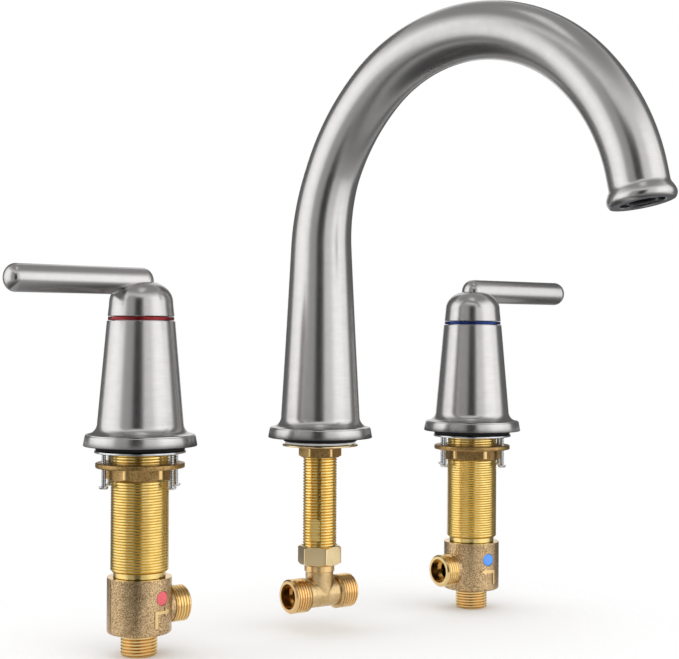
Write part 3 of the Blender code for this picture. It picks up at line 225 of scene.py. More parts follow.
def turnOutline(name, outline, steps=turnedSides):  # turns (radius, height) points on the lathe, about Z
    closed = list(outline)
    if closed[0][0] > weldDistance or closed[-1][0] > weldDistance:
        closed.append(closed[0])
    piece = tracePath(name, [(radius, 0.0, height) for radius, height in closed])
    bpy.ops.mesh.spin(steps=steps, angle=math.tau, center=(0, 0, 0), axis=(0, 0, 1))
    bpy.ops.mesh.select_all(action="SELECT")
    bpy.ops.mesh.remove_doubles(threshold=weldDistance)
    bpy.ops.mesh.normals_make_consistent(inside=False)
    bpy.ops.object.mode_set(mode="OBJECT")
    lathe = piece.data.attributes.new("lathe", "FLOAT_VECTOR", "POINT")
    for vertex, mark in zip(piece.data.vertices, lathe.data):
        mark.vector = vertex.co
    return piece


def arc(centre, radius, start, end, steps=edgeSteps):  # outline points on an arc, angles in degrees
    angles = [math.radians(start + (end - start) * i / steps) for i in range(steps + 1)]
    return [(centre[0] + radius * math.cos(a), centre[1] + radius * math.sin(a)) for a in angles]


def ringOutline(bore, radius, bottom, top, edge):  # a ring with its outer edges rounded
    outline = [(bore, bottom)]
    outline += arc((radius - edge, bottom + edge), edge, -90, 0)
    outline += arc((radius - edge, top - edge), edge, 0, 90)
    return outline + [(bore, top)]


def rodOutline(radius, bottom, top, edge):
    return [(0.0, bottom)] + ringOutline(0.0, radius, bottom, top, edge)[1:-1] + [(0.0, top)]


def applyModifier(piece, kind, **settings):
    makeActive(piece)
    step = piece.modifiers.new("step", kind)
    for key, value in settings.items():
        setattr(step, key, value)
    bpy.ops.object.modifier_apply(modifier=step.name)


def combine(piece, tool, operation="DIFFERENCE"):  # and the tool is gone afterwards
    applyModifier(piece, "BOOLEAN", operation=operation, solver="MANIFOLD", object=tool)
    bpy.data.objects.remove(tool, do_unlink=True)


def place(piece, turn=(0, 0, 0), shift=(0, 0, 0)):  # turns, moves, and leaves the object at the origin
    makeActive(piece)
    piece.rotation_euler = turn
    piece.location = shift
    bpy.ops.object.transform_apply(location=True, rotation=True, scale=True)
    return piece


def copyPiece(piece, name):
    twin = piece.copy()
    twin.data = piece.data.copy()
    twin.name = twin.data.name = name
    bpy.context.collection.objects.link(twin)
    return twin


threads = {  # metres, and the turns' facets
    "shank": {"radius": 0.0166, "depth": 0.0006, "pitch": 0.00159, "steps": 64},
    "half": {"radius": 0.0105, "depth": 0.0008, "pitch": 0.00181, "steps": 48},
    "jack": {"radius": 0.0014, "depth": 0.0004, "pitch": 0.001, "steps": 24},
}
groove = {"half": 0.27, "standOut": 0.0008}  # share of the pitch, metres; the rest is the flat crest


def cutThread(piece, kind, bottom, top):  # a V-shaped coil cuts the groove, as a die does
    facts = threads[kind]
    radius, half = facts["radius"], facts["pitch"] * groove["half"]
    start = bottom - facts["pitch"]
    crest = radius + groove["standOut"]
    corners = [(radius - facts["depth"], start), (radius, start + half), (crest, start + half),
               (crest, start - half), (radius, start - half)]
    coil = tracePath("coil", [(r, 0.0, z) for r, z in corners])
    bpy.ops.mesh.edge_face_add()
    bpy.ops.object.mode_set(mode="OBJECT")
    turns = math.ceil((top - start) / facts["pitch"]) + 1
    applyModifier(coil, "SCREW", angle=math.tau, screw_offset=facts["pitch"], iterations=turns,
                  steps=facts["steps"], render_steps=facts["steps"])
    bpy.ops.object.mode_set(mode="EDIT")
    bpy.ops.mesh.select_all(action="SELECT")
    bpy.ops.mesh.remove_doubles(threshold=weldDistance)
    bpy.ops.mesh.select_all(action="DESELECT")
    bpy.ops.mesh.select_non_manifold()
    bpy.ops.mesh.fill()
    bpy.ops.mesh.select_all(action="SELECT")
    bpy.ops.mesh.normals_make_consistent(inside=False)
    bpy.ops.object.mode_set(mode="OBJECT")
    combine(piece, coil)


halfFlat = math.cos(math.pi / 6)  # a hexagon's half width, for a corner at radius 1
nutChamfer = {"start": 0.97, "angle": 30}  # share of the half width, degrees


def hexBar(name, flatWidth, bottom, top, turn, corner=0.0):  # a flat looks the way that turn says
    bpy.ops.object.select_all(action="DESELECT")
    bpy.ops.mesh.primitive_circle_add(vertices=6, radius=flatWidth / 2 / halfFlat, fill_type="NGON")
    piece = bpy.context.active_object
    piece.name = piece.data.name = name
    bpy.ops.object.mode_set(mode="EDIT")
    bpy.ops.mesh.select_all(action="SELECT")
    if corner:
        bpy.ops.mesh.bevel(offset=corner, segments=edgeSteps, affect="VERTICES")
        bpy.ops.mesh.select_all(action="SELECT")
    bpy.ops.mesh.extrude_region_move(TRANSFORM_OT_translate={"value": (0, 0, top - bottom)})
    bpy.ops.mesh.select_all(action="SELECT")
    bpy.ops.mesh.normals_make_consistent(inside=False)
    return place(piece, (0, 0, turn), (0, 0, bottom))


def makeBox(size, turn=(0, 0, 0), shift=(0, 0, 0)):
    bpy.ops.object.select_all(action="DESELECT")
    bpy.ops.mesh.primitive_cube_add(size=1)
    box = bpy.context.active_object
    box.scale = size
    return place(box, turn, shift)


def chamferEnds(piece, flatWidth, bottom, top):  # a cone at each end takes the corners off
    flat, corner = flatWidth / 2 * nutChamfer["start"], flatWidth / 2 / halfFlat + overrun
    rise = (corner - flat) * math.tan(math.radians(nutChamfer["angle"]))
    outline = [(0.0, bottom), (flat, bottom), (corner, bottom + rise), (corner, top - rise), (flat, top),
               (0.0, top)]
    combine(piece, turnOutline("chamfer", outline), "INTERSECT")


def markCutAndHighlit(piece, inCutAndHighlit, domain="POINT"):  # 1 on a face that a tool has cut and on a painted highlight, else 0
    cutAndHighlitMask = piece.data.attributes.new("machined", "FLOAT", domain)
    if domain == "POINT":
        spots = [vertex.co for vertex in piece.data.vertices]
    else:
        spots = [face.center for face in piece.data.polygons]
    for spot, mark in zip(spots, cutAndHighlitMask.data):
        mark.value = 1.0 if inCutAndHighlit(spot) else 0.0


def finishPiece(piece, finish, body, node):
    makeActive(piece)
    bpy.ops.object.shade_smooth_by_angle(angle=sharpAngle)
    piece.data.materials.clear()
    piece.data.materials.append(materials[finish])
    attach(piece, body)
    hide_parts(node)


# What the pieces share

spread = 0.126  # from the spout's axis to each valve's
viewedFrom = math.radians(-126)  # the side on which the nuts show a flat
foot = {"radius": 0.0325, "draft": 0.0009, "height": 0.0061, "edge": 0.0005, "cove": 0.0064, "neck": 0.0246,
        "rim": 0.0266, "rimDepth": 0.0005, "coveSteps": 14}
neckHeight = foot["height"] + foot["edge"] + foot["cove"]


def footOutline():  # the rim that rests on the deck, the band, and the hollow sweep up to the neck
    top, lift = foot["radius"] - foot["draft"], foot["height"] + foot["edge"]
    outline = [(foot["rim"], foot["rimDepth"]), (foot["rim"], 0.0)]
    outline += arc((foot["radius"] - foot["edge"], foot["edge"]), foot["edge"], -90, 0)
    outline += arc((top - foot["edge"], foot["height"] - foot["edge"]), foot["edge"], 0, 90)
    outline += arc((foot["neck"] + foot["cove"], lift + foot["cove"]), foot["cove"], -90, -180,
                   foot["coveSteps"])
    return outline


# Gooseneck spout

spout = {  # metres; each bend is a radius and how many degrees it turns
    "rise": 0.1175, "bends": ((0.139, 44.4), (0.0936, 90.4), (0.121, 33.6)), "straight": 0.0173,
    "heading": -68.0, "tube": 0.017, "wall": 0.0015, "taper": 0.152, "taperPower": 1.15,
    "bead": 0.0195, "beadHeight": 0.0072, "beadPower": 0.85, "face": 0.0182, "flare": 0.0035,
    "mouth": 0.0127, "mouthDepth": 0.003, "mouthEdge": 0.0004, "seat": 0.0123, "seatDepth": 0.008,
    "throat": 0.010, "throatDepth": 0.002, "cavity": 0.0226, "cavityBottom": 0.0083,
    "tubeRows": 150, "flareRows": 6, "beadRows": 16,
}
spoutLength = spout["rise"] + sum(r * math.radians(a) for r, a in spout["bends"]) + spout["straight"]


def spoutPoint(distance):  # the centre line: reach, height and lean at a distance along it
    reach, height, lean = 0.0, min(distance, spout["rise"]), 0.0
    left = distance - spout["rise"]
    for radius, angle in spout["bends"]:
        if left <= 0:
            return reach, height, lean
        swept = min(left / radius, math.radians(angle))
        reach += radius * (math.cos(lean) - math.cos(lean + swept))
        height += radius * (math.sin(lean + swept) - math.sin(lean))
        lean, left = lean + swept, left - swept * radius
    return reach + max(left, 0) * math.sin(lean), height + max(left, 0) * math.cos(lean), lean


def bendAlongSpout(piece):  # takes a piece turned upright to its place along the centre line
    for vertex in piece.data.vertices:
        reach, height, lean = spoutPoint(max(vertex.co.z, 0.0))
        x, y, below = vertex.co.x, vertex.co.y, min(vertex.co.z, 0.0)
        vertex.co = (reach + x * math.cos(lean), y, height - x * math.sin(lean) + below)
    return place(piece, (0, 0, math.radians(spout["heading"])))


def tubeRadius(distance):
    share = min(max((distance - neckHeight) / spout["taper"], 0.0), 1.0)
    return spout["tube"] + (foot["neck"] - spout["tube"]) * (1 - share) ** spout["taperPower"]


def makeSpout():
    beadTop = spoutLength - spout["beadHeight"]
    flareTop = beadTop - spout["flare"]
    rows = spout["tubeRows"]
    places = [neckHeight + (flareTop - neckHeight) * i / rows for i in range(rows + 1)]
    outline = footOutline() + [(tubeRadius(z), z) for z in places[1:]]
    for i in range(1, spout["flareRows"] + 1):  # a small hollow flare runs into the bead
        share = i / spout["flareRows"]
        radius = spout["tube"] + (spout["face"] - spout["tube"]) * share ** 2
        outline.append((radius, flareTop + spout["flare"] * share))
    for i in range(1, spout["beadRows"] + 1):
        share = 1 - i / spout["beadRows"]
        swell = math.sin(math.pi * share ** spout["beadPower"]) if 0 < share < 1 else 0.0
        radius = spout["face"] + (spout["bead"] - spout["face"]) * swell
        outline.append((radius, spoutLength - spout["beadHeight"] * share))
    mouthTop = spoutLength - spout["mouthDepth"]
    seatTop = mouthTop - spout["seatDepth"]
    throatTop = seatTop - spout["throatDepth"]
    outline += [(spout["mouth"] + spout["mouthEdge"], spoutLength),
                (spout["mouth"], spoutLength - spout["mouthEdge"]), (spout["mouth"], mouthTop),
                (spout["seat"], mouthTop), (spout["seat"], seatTop),
                (spout["throat"], seatTop), (spout["throat"], throatTop)]
    outline += [(tubeRadius(z) - spout["wall"], z) for z in reversed(places) if z < throatTop]
    outline += [(spout["cavity"], spout["cavityBottom"]), (spout["cavity"], foot["rimDepth"])]
    tube = turnOutline("spoutTube", outline, roundSides)
    markCutAndHighlit(tube, lambda spot: spot.z > spoutLength - hairline and spot.xy.length < spout["face"],
                 "FACE")
    return bendAlongSpout(tube)


finishPiece(makeSpout(), "brushedNickel", "faucet", "spout")


# Aerator

# The core's depths and the height are below the mouth's shoulder, and the slot's bottom is above it.
# The lip's depth is below the outlet's face, and those of the ring and the throat are below the lip
aerator = {
    "seatSides": 20, "gap": 0.0003, "height": 0.0062, "wall": 0.0028, "step": 0.0002, "edge": 0.0003,
    "lipDepth": 0.0009, "mouthGap": 0.0002, "throatDepth": 0.0018,
    "ring": 0.0089, "ringEdge": 0.0011, "ringWidth": 0.0014, "ringDepth": 0.0012,
    "slotBottom": 0.0008, "lugTurn": 35.0, "lugWidth": 0.0022, "lugHeight": 0.01,
    "coreWall": 0.0033, "coreTop": 0.0008, "coreRim": 0.0012, "coreFloor": 0.002,
    "holeRows": 3, "hole": 0.00055, "holeSpacing": 0.0022, "holeBottom": 0.0032, "holeTop": 0.001,
    "holeSides": 12, "moreHoles": 6,  # in each ring than in the one inside it
}


def makeAerator():
    mouthTop = spoutLength - spout["mouthDepth"]
    outer = spout["seat"] * math.cos(math.pi / aerator["seatSides"]) - aerator["gap"]
    bottom, shoulder = mouthTop - aerator["height"], mouthTop + aerator["step"]
    lip, mouth = spoutLength - aerator["lipDepth"], spout["mouth"] - aerator["mouthGap"]
    ring = aerator["ring"]
    housing = turnOutline("aeratorHousing", [  # its flange fills the mouth
        (outer - aerator["wall"], bottom), (outer, bottom), (outer, shoulder), (mouth, shoulder),
        (mouth, lip - aerator["step"]), (mouth - aerator["edge"], lip), (ring - aerator["ringEdge"], lip),
        (ring - aerator["ringWidth"], lip - aerator["edge"]),
        (ring - aerator["ringWidth"], lip - aerator["ringDepth"]),
        (outer - aerator["wall"], lip - aerator["throatDepth"])])
    slotBottom = mouthTop + aerator["slotBottom"]
    slot = turnOutline("slot", [(ring, slotBottom), (mouth + overrun, slotBottom),
                                (mouth + overrun, lip + overrun), (ring, lip + overrun)])
    for turn in range(2):  # four lugs stay, for the key that screws it out
        size = (2 * mouth + 4 * overrun, aerator["lugWidth"], aerator["lugHeight"])
        lugTurn = math.radians(aerator["lugTurn"]) + turn * math.pi / 2
        combine(slot, makeBox(size, (0, 0, lugTurn), (0, 0, lip)))
    combine(housing, slot)
    finishPiece(bendAlongSpout(housing), "greyAcetal", "faucet", "aerator_housing")
    inner = outer - aerator["coreWall"]
    rim = inner - aerator["coreRim"]
    top, floor = mouthTop - aerator["coreTop"], mouthTop - aerator["coreFloor"]
    core = turnOutline("aeratorCore", [(0.0, bottom), (inner, bottom), (inner, top), (rim, top), (rim, floor),
                                       (0.0, floor)])
    for row in range(aerator["holeRows"]):  # rings of small holes mix air into the water
        count, reach = aerator["moreHoles"] * row + 1, aerator["holeSpacing"] * row
        for number in range(count):
            angle = math.tau * number / count
            rod = rodOutline(aerator["hole"], mouthTop - aerator["holeBottom"],
                             mouthTop - aerator["holeTop"], hairline)
            hole = turnOutline("hole", rod, aerator["holeSides"])
            place(hole, shift=(reach * math.cos(angle), reach * math.sin(angle), 0))
            combine(core, hole)
    finishPiece(bendAlongSpout(core), "blackAcetal", "faucet", "aerator_core")


makeAerator()
print("spout made")


# Valve covers and handles

cover = {"height": 0.0715, "top": 0.0195, "edge": 0.0003, "wall": 0.0022, "wallBottom": 0.013, "floor": 0.004,
         "roof": 0.003, "spigot": 0.003, "spigotHeight": 0.0014, "bore": 0.0171}
indicator = {"bore": 0.0168, "radius": 0.0189, "gap": 0.0003, "height": 0.002, "edge": 0.0003}
handle = {"bottom": 0.0741, "radius": 0.019, "draft": 0.0007, "edge": 0.0003, "cone": 0.0069, "dome": 0.0136,
          "power": 2.3, "domeRows": 28, "wall": 0.0024, "cavity": 0.0058, "hub": 0.0084, "hubLift": 0.0008,
          "bore": 0.0044, "boreDepth": 0.0098, "seam": 0.00012}
lever = {"radius": 0.00785, "reach": 0.083, "back": 0.0068, "nose": 0.0065, "noseStep": 6, "sink": 0.0004}
grubScrew = {"radius": 0.002, "inner": 0.0043, "outer": 0.0113, "edge": 0.0002, "lift": 0.0038,
             "hole": 0.0023, "holeInner": 0.002, "socket": 0.0019, "socketInner": 0.0088,
             "socketOuter": 0.0123, "sides": 32}
sides = {"hot": {"way": -1, "enamel": "redRingEnamel", "paint": "redPaint", "nutTurn": 13.7},
         "cold": {"way": 1, "enamel": "blueRingEnamel", "paint": "bluePaint", "nutTurn": -9.4}}


def makeCover():
    inner, spigot = foot["neck"] - cover["wall"], cover["top"] - cover["spigot"]
    height, edge = cover["height"], cover["edge"]
    wallTop, spigotTop = height - cover["roof"], height + cover["spigotHeight"]
    outline = [(cover["bore"], foot["rimDepth"])] + footOutline()
    outline += arc((cover["top"] - edge, height - edge), edge, 0, 90)
    outline += [(spigot, height), (spigot, spigotTop), (spigot - cover["spigot"], spigotTop),
                (spigot - cover["spigot"], wallTop), (cover["top"] - cover["wall"], wallTop),
                (inner, cover["wallBottom"]), (inner, cover["floor"]), (cover["bore"], cover["floor"])]
    return turnOutline("cover", outline, roundSides)


def leverOutline(grow=0.0):
    radius = lever["radius"] + grow
    angles = [math.radians(angle) for angle in range(0, 91, lever["noseStep"])]
    outline = []
    for end, way in ((-lever["back"] - grow, 1), (lever["reach"] + grow, -1)):
        nose = [(radius * math.sin(a), end + way * lever["nose"] * (1 - math.cos(a))) for a in angles]
        outline += nose if way == 1 else nose[::-1]
    return outline


def makeHandle(side, way):
    bottom, edge, power = handle["bottom"], handle["edge"], 2 / handle["power"]
    domeBottom = bottom + handle["cone"]
    top = domeBottom + handle["dome"]
    outline = arc((handle["radius"] - edge, bottom + edge), edge, -90, 0)
    for i in range(handle["domeRows"] + 1):
        angle = math.pi / 2 * i / handle["domeRows"]
        outline.append(((handle["radius"] - handle["draft"]) * max(math.cos(angle), 0.0) ** power,
                        domeBottom + handle["dome"] * math.sin(angle) ** power))
    outline[-1] = (0.0, top)
    boreTop, hubBottom = bottom + handle["boreDepth"], bottom + handle["hubLift"]
    cavityTop, inner = bottom + handle["cavity"], handle["radius"] - handle["wall"]
    outline += [(0.0, boreTop), (handle["bore"], boreTop), (handle["bore"], hubBottom),
                (handle["hub"], hubBottom), (handle["hub"], cavityTop), (inner, cavityTop), (inner, bottom),
                outline[0]]
    cap = turnOutline(side + "HandleCap", outline, roundSides)
    along, height = (0, way * math.pi / 2, 0), (0, 0, top - lever["sink"])
    combine(cap, place(turnOutline("seat", leverOutline(handle["seam"])), along, height))
    backwards, lift = (-math.pi / 2, 0, 0), (0, 0, bottom + grubScrew["lift"])
    hole = rodOutline(grubScrew["hole"], grubScrew["holeInner"], handle["radius"] + overrun, hairline)
    combine(cap, place(turnOutline("grubHole", hole, grubScrew["sides"]), backwards, lift))
    bar = place(turnOutline(side + "Lever", leverOutline()), along, height)
    rod = rodOutline(grubScrew["radius"], grubScrew["inner"], grubScrew["outer"], grubScrew["edge"])
    grub = turnOutline(side + "GrubScrew", rod, grubScrew["sides"])
    combine(grub, hexBar("socket", grubScrew["socket"], grubScrew["socketInner"],
                         grubScrew["socketOuter"], 0))
    place(grub, backwards, lift)
    return cap, bar, grub


ringBottom = cover["height"] + indicator["gap"]
ringProfile = ringOutline(indicator["bore"], indicator["radius"], ringBottom,
                          ringBottom + indicator["height"], indicator["edge"])
for side, facts in sides.items():
    shift = (facts["way"] * spread, 0, 0)
    bell = makeCover()
    bell.name = bell.data.name = side + "Cover"
    finishPiece(place(bell, shift=shift), "brushedNickel", "faucet", side + "_escutcheon")
    ring = turnOutline(side + "Ring", ringProfile, roundSides)
    finishPiece(place(ring, shift=shift), facts["enamel"], "faucet", side + "_indicator_ring")
    cap, bar, grub = makeHandle(side, facts["way"])
    body = side + "_handle"
    finishPiece(place(cap, shift=shift), "brushedNickel", body, side + "_handle_cap")
    finishPiece(place(bar, shift=shift), "brushedNickel", body, side + "_lever")
    finishPiece(place(grub, shift=shift), "brightZinc", body, side + "_grub_screw")
print("covers and handles made")


# Valve shanks and what clamps them to the deck

shank = {"bottom": -0.0716, "top": 0.0101, "radius": 0.0166, "end": 0.0156, "chamfer": 0.001,
         "upperTop": 0.046, "upper": 0.015, "bore": 0.0126, "relief": 0.0149, "reliefGap": 0.0003,
         "spigot": 0.0144, "bodyTop": -0.0748, "socket": -0.0835}
deck = {"bore": 0.0171, "ringEdge": 0.0003,  # the rings are a radius, a bottom and a top
        "gasket": (0.0255, -0.0023, 0.0002), "washer": (0.0261, -0.0039, -0.0026)}
mountingNut = {"flats": 0.036, "corner": 0.0016, "bottom": -0.0195, "hexTop": 0.0008, "chamferTop": 0.003,
               "flange": 0.0255, "flangeBottom": -0.0125, "top": -0.0096, "flangeEdge": 0.0007,
               "jackHole": 0.0017, "holeSides": 24, "dressed": 0.0197}
jack = {"circle": 0.0216, "pair": 27.0, "tip": -0.0042, "tipRadius": 0.001, "tipLength": 0.0004,
        "headTop": -0.0225, "headHeight": 0.0017, "head": 0.0027, "headEdge": 0.0012,
        "threadBottom": 0.0012, "threadTop": 0.001, "cross": (0.0034, 0.0006, 0.0018), "turn": 0.7,
        "sides": 32, "headSteps": 6}


def makeShank():
    bottom, top, radius, end = shank["bottom"], shank["top"], shank["radius"], shank["end"]
    piece = turnOutline("shank", [
        (shank["bore"], shank["socket"]), (shank["spigot"], shank["socket"]),
        (shank["spigot"], shank["bodyTop"]), (shank["relief"], shank["bodyTop"] + shank["reliefGap"]),
        (shank["relief"], bottom), (end, bottom), (radius, bottom + shank["chamfer"]),
        (radius, top - shank["chamfer"]), (end, top), (shank["upper"], top),
        (shank["upper"], shank["upperTop"]), (shank["bore"], shank["upperTop"])])
    cutThread(piece, "shank", bottom, top)
    return piece


def jackPlaces():
    right, pair = viewedFrom + math.pi / 2, math.radians(jack["pair"])
    angles = (right - pair, right + pair, right + math.pi - pair, right + math.pi + pair)
    return [(jack["circle"] * math.cos(a), jack["circle"] * math.sin(a)) for a in angles]


def makeMountingNut(turn):
    flats, bottom, top = mountingNut["flats"], mountingNut["bottom"], mountingNut["top"]
    flangeBottom = mountingNut["flangeBottom"]
    nut = hexBar("nut", flats, bottom, top - mountingNut["hexTop"], turn, mountingNut["corner"])
    chamferEnds(nut, flats, bottom, top + mountingNut["chamferTop"])
    flange = rodOutline(mountingNut["flange"], flangeBottom, top, mountingNut["flangeEdge"])
    combine(nut, turnOutline("flange", flange), "UNION")
    bore = rodOutline(deck["bore"], bottom - overrun, top + overrun, hairline)
    combine(nut, turnOutline("bore", bore))
    jackHole = rodOutline(mountingNut["jackHole"], flangeBottom - overrun, top + overrun, hairline)
    for x, y in jackPlaces():
        combine(nut, place(turnOutline("hole", jackHole, mountingNut["holeSides"]), shift=(x, y, 0)))
    # the corners below the flange are painted pale: a painted highlight
    markCutAndHighlit(nut, lambda spot: spot.z < flangeBottom and spot.xy.length > mountingNut["dressed"], "FACE")
    return nut


def makeJackScrew():
    bottom, top, head, tip = jack["headTop"] - jack["headHeight"], jack["headTop"], jack["head"], jack["tip"]
    edge, radius = jack["headEdge"], threads["jack"]["radius"]
    outline = [(0.0, bottom)]
    outline += arc((head - edge, bottom + edge), edge, -90, 0, jack["headSteps"])
    outline += [(head, top), (radius, top), (radius, tip - jack["tipLength"]), (jack["tipRadius"], tip),
                (0.0, tip)]
    screw = turnOutline("jackScrew", outline, jack["sides"])
    cutThread(screw, "jack", top + jack["threadBottom"], tip + jack["threadTop"])
    for turn in (0, math.pi / 2):  # the cross in the head
        combine(screw, makeBox(jack["cross"], (0, 0, turn), (0, 0, bottom)))
    return screw


shankMaster, screwMaster = makeShank(), makeJackScrew()
for side, facts in sides.items():
    shift = (facts["way"] * spread, 0, 0)
    piece = place(copyPiece(shankMaster, side + "Shank"), shift=shift)
    finishPiece(piece, "turnedBrass", "faucet", side + "_shank")
    for name, finish, node in (("gasket", "blackRubber", "_deck_gasket"),
                               ("washer", "brightZinc", "_clamp_washer")):
        radius, bottom, top = deck[name]
        ring = ringOutline(deck["bore"], radius, bottom, top, deck["ringEdge"])
        piece = place(turnOutline(side + name.capitalize(), ring), shift=shift)
        finishPiece(piece, finish, "faucet", side + node)
    nut = makeMountingNut(viewedFrom + math.radians(facts["nutTurn"]))
    nut.name = nut.data.name = side + "MountingNut"
    finishPiece(place(nut, shift=shift), "castNutBrass", "faucet", side + "_mounting_nut")
    for number, (x, y) in enumerate(jackPlaces(), 1):  # each stands turned a little further
        screw = copyPiece(screwMaster, f"{side}JackScrew{number}")
        place(screw, (0, 0, number * jack["turn"]), (shift[0] + x, y, 0))
        finishPiece(screw, "brightZinc", "faucet", f"{side}_jack_screw_{number}")
for master in (shankMaster, screwMaster):
    bpy.data.objects.remove(master, do_unlink=True)
print("shanks and deck fixings made")


# Cast valve bodies

nipple = {"core": 0.0096, "end": 0.0095, "run": 0.0006, "chamfer": 0.001}
casting = {"radius": 0.0185, "top": -0.0748, "bottom": -0.1065, "edge": 0.0011, "spare": 0.0015,
           "topCutter": (0.06, 0.06, 0.01), "chamber": 0.0128, "chamberBottom": -0.101,
           "socket": 0.0149, "socketBottom": -0.0838, "riser": 0.0082, "riserBottom": -0.1045,
           "mouth": 0.0078, "mouthDepth": 0.0075, "throat": 0.0062, "nozzle": -0.1195,
           "nozzleRoot": 0.003, "voxel": 0.00035, "smoothing": 0.5, "smoothTimes": 3,
           "cutAbove": 0.0002, "cutBelow": 0.0003}
stub = {"height": -0.0928, "reach": 0.029, "start": 0.0145, "neck": 0.004, "boreStart": 0.0108,
        "boss": (0.0101, 0.008, 0.0187, 0.0002), "cutFrom": 0.0188}  # boss: radius, inner, outer, edge
seam = {"depth": 0.0012, "width": 0.0006, "sink": 0.0004, "short": 0.002}
marks = {"hot": {"turn": -73.0, "way": 1}, "cold": {"turn": -93.0, "way": -1}, "raised": 0.0006,
         "dot": 0.004, "dotHeight": -0.0855, "dotEdge": 0.0003, "dotTop": 0.0009, "recess": 0.0011,
         "recessGap": 0.0002, "sides": 48}
arrow = {"height": -0.0933, "length": 0.011, "width": 0.0018, "headLength": 0.0036, "headWidth": 0.0052,
         "stem": 0.0095, "root": 0.001, "halfReach": 0.0065, "sideReach": 0.0145, "cutShare": 0.8}


def makeNipple(name, start, end, neck=0.0):  # a half inch thread with chamfered ends
    radius, core = threads["half"]["radius"], nipple["core"]
    piece = turnOutline(name, [(0.0, start), (core, start), (core, start + neck),
                               (radius, start + neck + nipple["run"]), (radius, end - nipple["chamfer"]),
                               (nipple["end"], end), (0.0, end)])
    cutThread(piece, "half", start + neck, end)
    return piece


def softenCasting(piece):  # a sand mould leaves no sharp edge and fills the inner corners
    applyModifier(piece, "REMESH", mode="VOXEL", voxel_size=casting["voxel"])
    applyModifier(piece, "SMOOTH", factor=casting["smoothing"], iterations=casting["smoothTimes"])


def steppedBore(name, inner, face):
    shoulder, throat, mouth = face - casting["mouthDepth"], casting["throat"], casting["mouth"]
    return turnOutline(name, [(0.0, inner), (throat, inner), (throat, shoulder), (mouth, shoulder),
                              (mouth, face + overrun), (0.0, face + overrun)])


def makeArrow(way, turn):  # up, then sideways to the outlet
    level, half, start = arrow["height"], arrow["width"] / 2, -way * arrow["length"] / 2
    inner, neck = start + way * arrow["width"], start + way * (arrow["length"] - arrow["headLength"])
    tip, headHalf, low = start + way * arrow["length"], arrow["headWidth"] / 2, level + half - arrow["stem"]
    corners = [(start, low), (inner, low), (inner, level - half), (neck, level - half),
               (neck, level - headHalf), (tip, level), (neck, level + headHalf), (neck, level + half),
               (start, level + half)]
    piece = tracePath("arrow", [(0.0, y, z) for y, z in corners])
    bpy.ops.mesh.edge_face_add()
    reach = casting["radius"] + overrun
    bpy.ops.mesh.extrude_region_move(TRANSFORM_OT_translate={"value": (reach, 0, 0)})
    bpy.ops.mesh.select_all(action="SELECT")
    bpy.ops.mesh.normals_make_consistent(inside=False)
    bpy.ops.object.mode_set(mode="OBJECT")
    shell = ringOutline(casting["radius"] - arrow["root"], casting["radius"] + marks["raised"],
                        casting["bottom"], casting["top"], hairline)
    combine(piece, turnOutline("shell", shell), "INTERSECT")
    return place(piece, (0, 0, math.radians(turn)))


def makeSeam(way):  # the mould halves met opposite the outlet
    tall = casting["top"] - casting["bottom"] - seam["short"]
    middle, reach = casting["top"] - seam["sink"] - tall / 2, casting["radius"] - seam["sink"]
    return makeBox((seam["depth"], seam["width"], tall), shift=(way * reach, 0, middle))


def makeHollow():
    bottom, top = casting["nozzle"] - overrun, casting["top"] + overrun
    shoulder = casting["nozzle"] + casting["mouthDepth"]
    return turnOutline("hollow", [
        (0.0, bottom), (casting["mouth"], bottom), (casting["mouth"], shoulder),
        (casting["throat"], shoulder), (casting["throat"], casting["riserBottom"]),
        (casting["riser"], casting["riserBottom"]), (casting["riser"], casting["chamberBottom"]),
        (casting["chamber"], casting["chamberBottom"]), (casting["chamber"], casting["socketBottom"]),
        (casting["socket"], casting["socketBottom"]), (casting["socket"], top), (0.0, top)])


def makeValveBody(side, way):
    mark, inwards, level = marks[side], (0, -way * math.pi / 2, 0), (0, 0, stub["height"])
    # The casting is made too tall and cut off again, so that its top has a machined rim
    rod = rodOutline(casting["radius"], casting["bottom"], casting["top"] + casting["spare"], casting["edge"])
    body = turnOutline(side + "ValveBody", rod)
    combine(body, place(turnOutline("boss", rodOutline(*stub["boss"])), inwards, level), "UNION")
    softenCasting(body)
    cutter = casting["topCutter"]
    combine(body, makeBox(cutter, shift=(0, 0, casting["top"] + cutter[2] / 2)))
    combine(body, makeArrow(mark["way"], mark["turn"]), "UNION")
    combine(body, makeSeam(way), "UNION")
    outlet = makeNipple("stub", stub["start"], stub["reach"], stub["neck"])
    combine(body, place(outlet, inwards, level), "UNION")
    nozzle = makeNipple("nozzle", -casting["bottom"] - casting["nozzleRoot"], -casting["nozzle"])
    combine(body, place(nozzle, (math.pi, 0, 0)), "UNION")
    combine(body, makeHollow())
    combine(body, place(steppedBore("bore", stub["boreStart"], stub["reach"]), inwards, level))
    floor, dotHeight = casting["radius"] - marks["recess"], (0, 0, marks["dotHeight"])
    outwards, turn = (0, math.pi / 2, 0), (0, 0, math.radians(mark["turn"]))
    recess = rodOutline(marks["dot"] + marks["recessGap"], floor, casting["radius"] + overrun, hairline)
    combine(body, place(place(turnOutline("recess", recess, marks["sides"]), outwards, dotHeight), turn))
    # above this height the arrow's face is painted pale: a painted highlight
    arrowTop = casting["radius"] + marks["raised"] * arrow["cutShare"]
    across = Vector((-math.sin(turn[2]), math.cos(turn[2]), 0))

    def inCutAndHighlit(spot):  # the cut rims above and below and the stub, and the arrow's face, painted pale as a highlight
        if spot.z < casting["bottom"] - casting["cutBelow"] or spot.z > casting["top"] - casting["cutAbove"]:
            return True
        onArrow = abs(spot.dot(across)) < arrow["halfReach"] and -way * spot.x < arrow["sideReach"]
        return -way * spot.x > stub["cutFrom"] or (onArrow and spot.xy.length > arrowTop)

    markCutAndHighlit(body, inCutAndHighlit)
    disc = rodOutline(marks["dot"], floor + hairline, floor + marks["dotTop"], marks["dotEdge"])
    return body, place(place(turnOutline(side + "Dot", disc, marks["sides"]), outwards, dotHeight), turn)


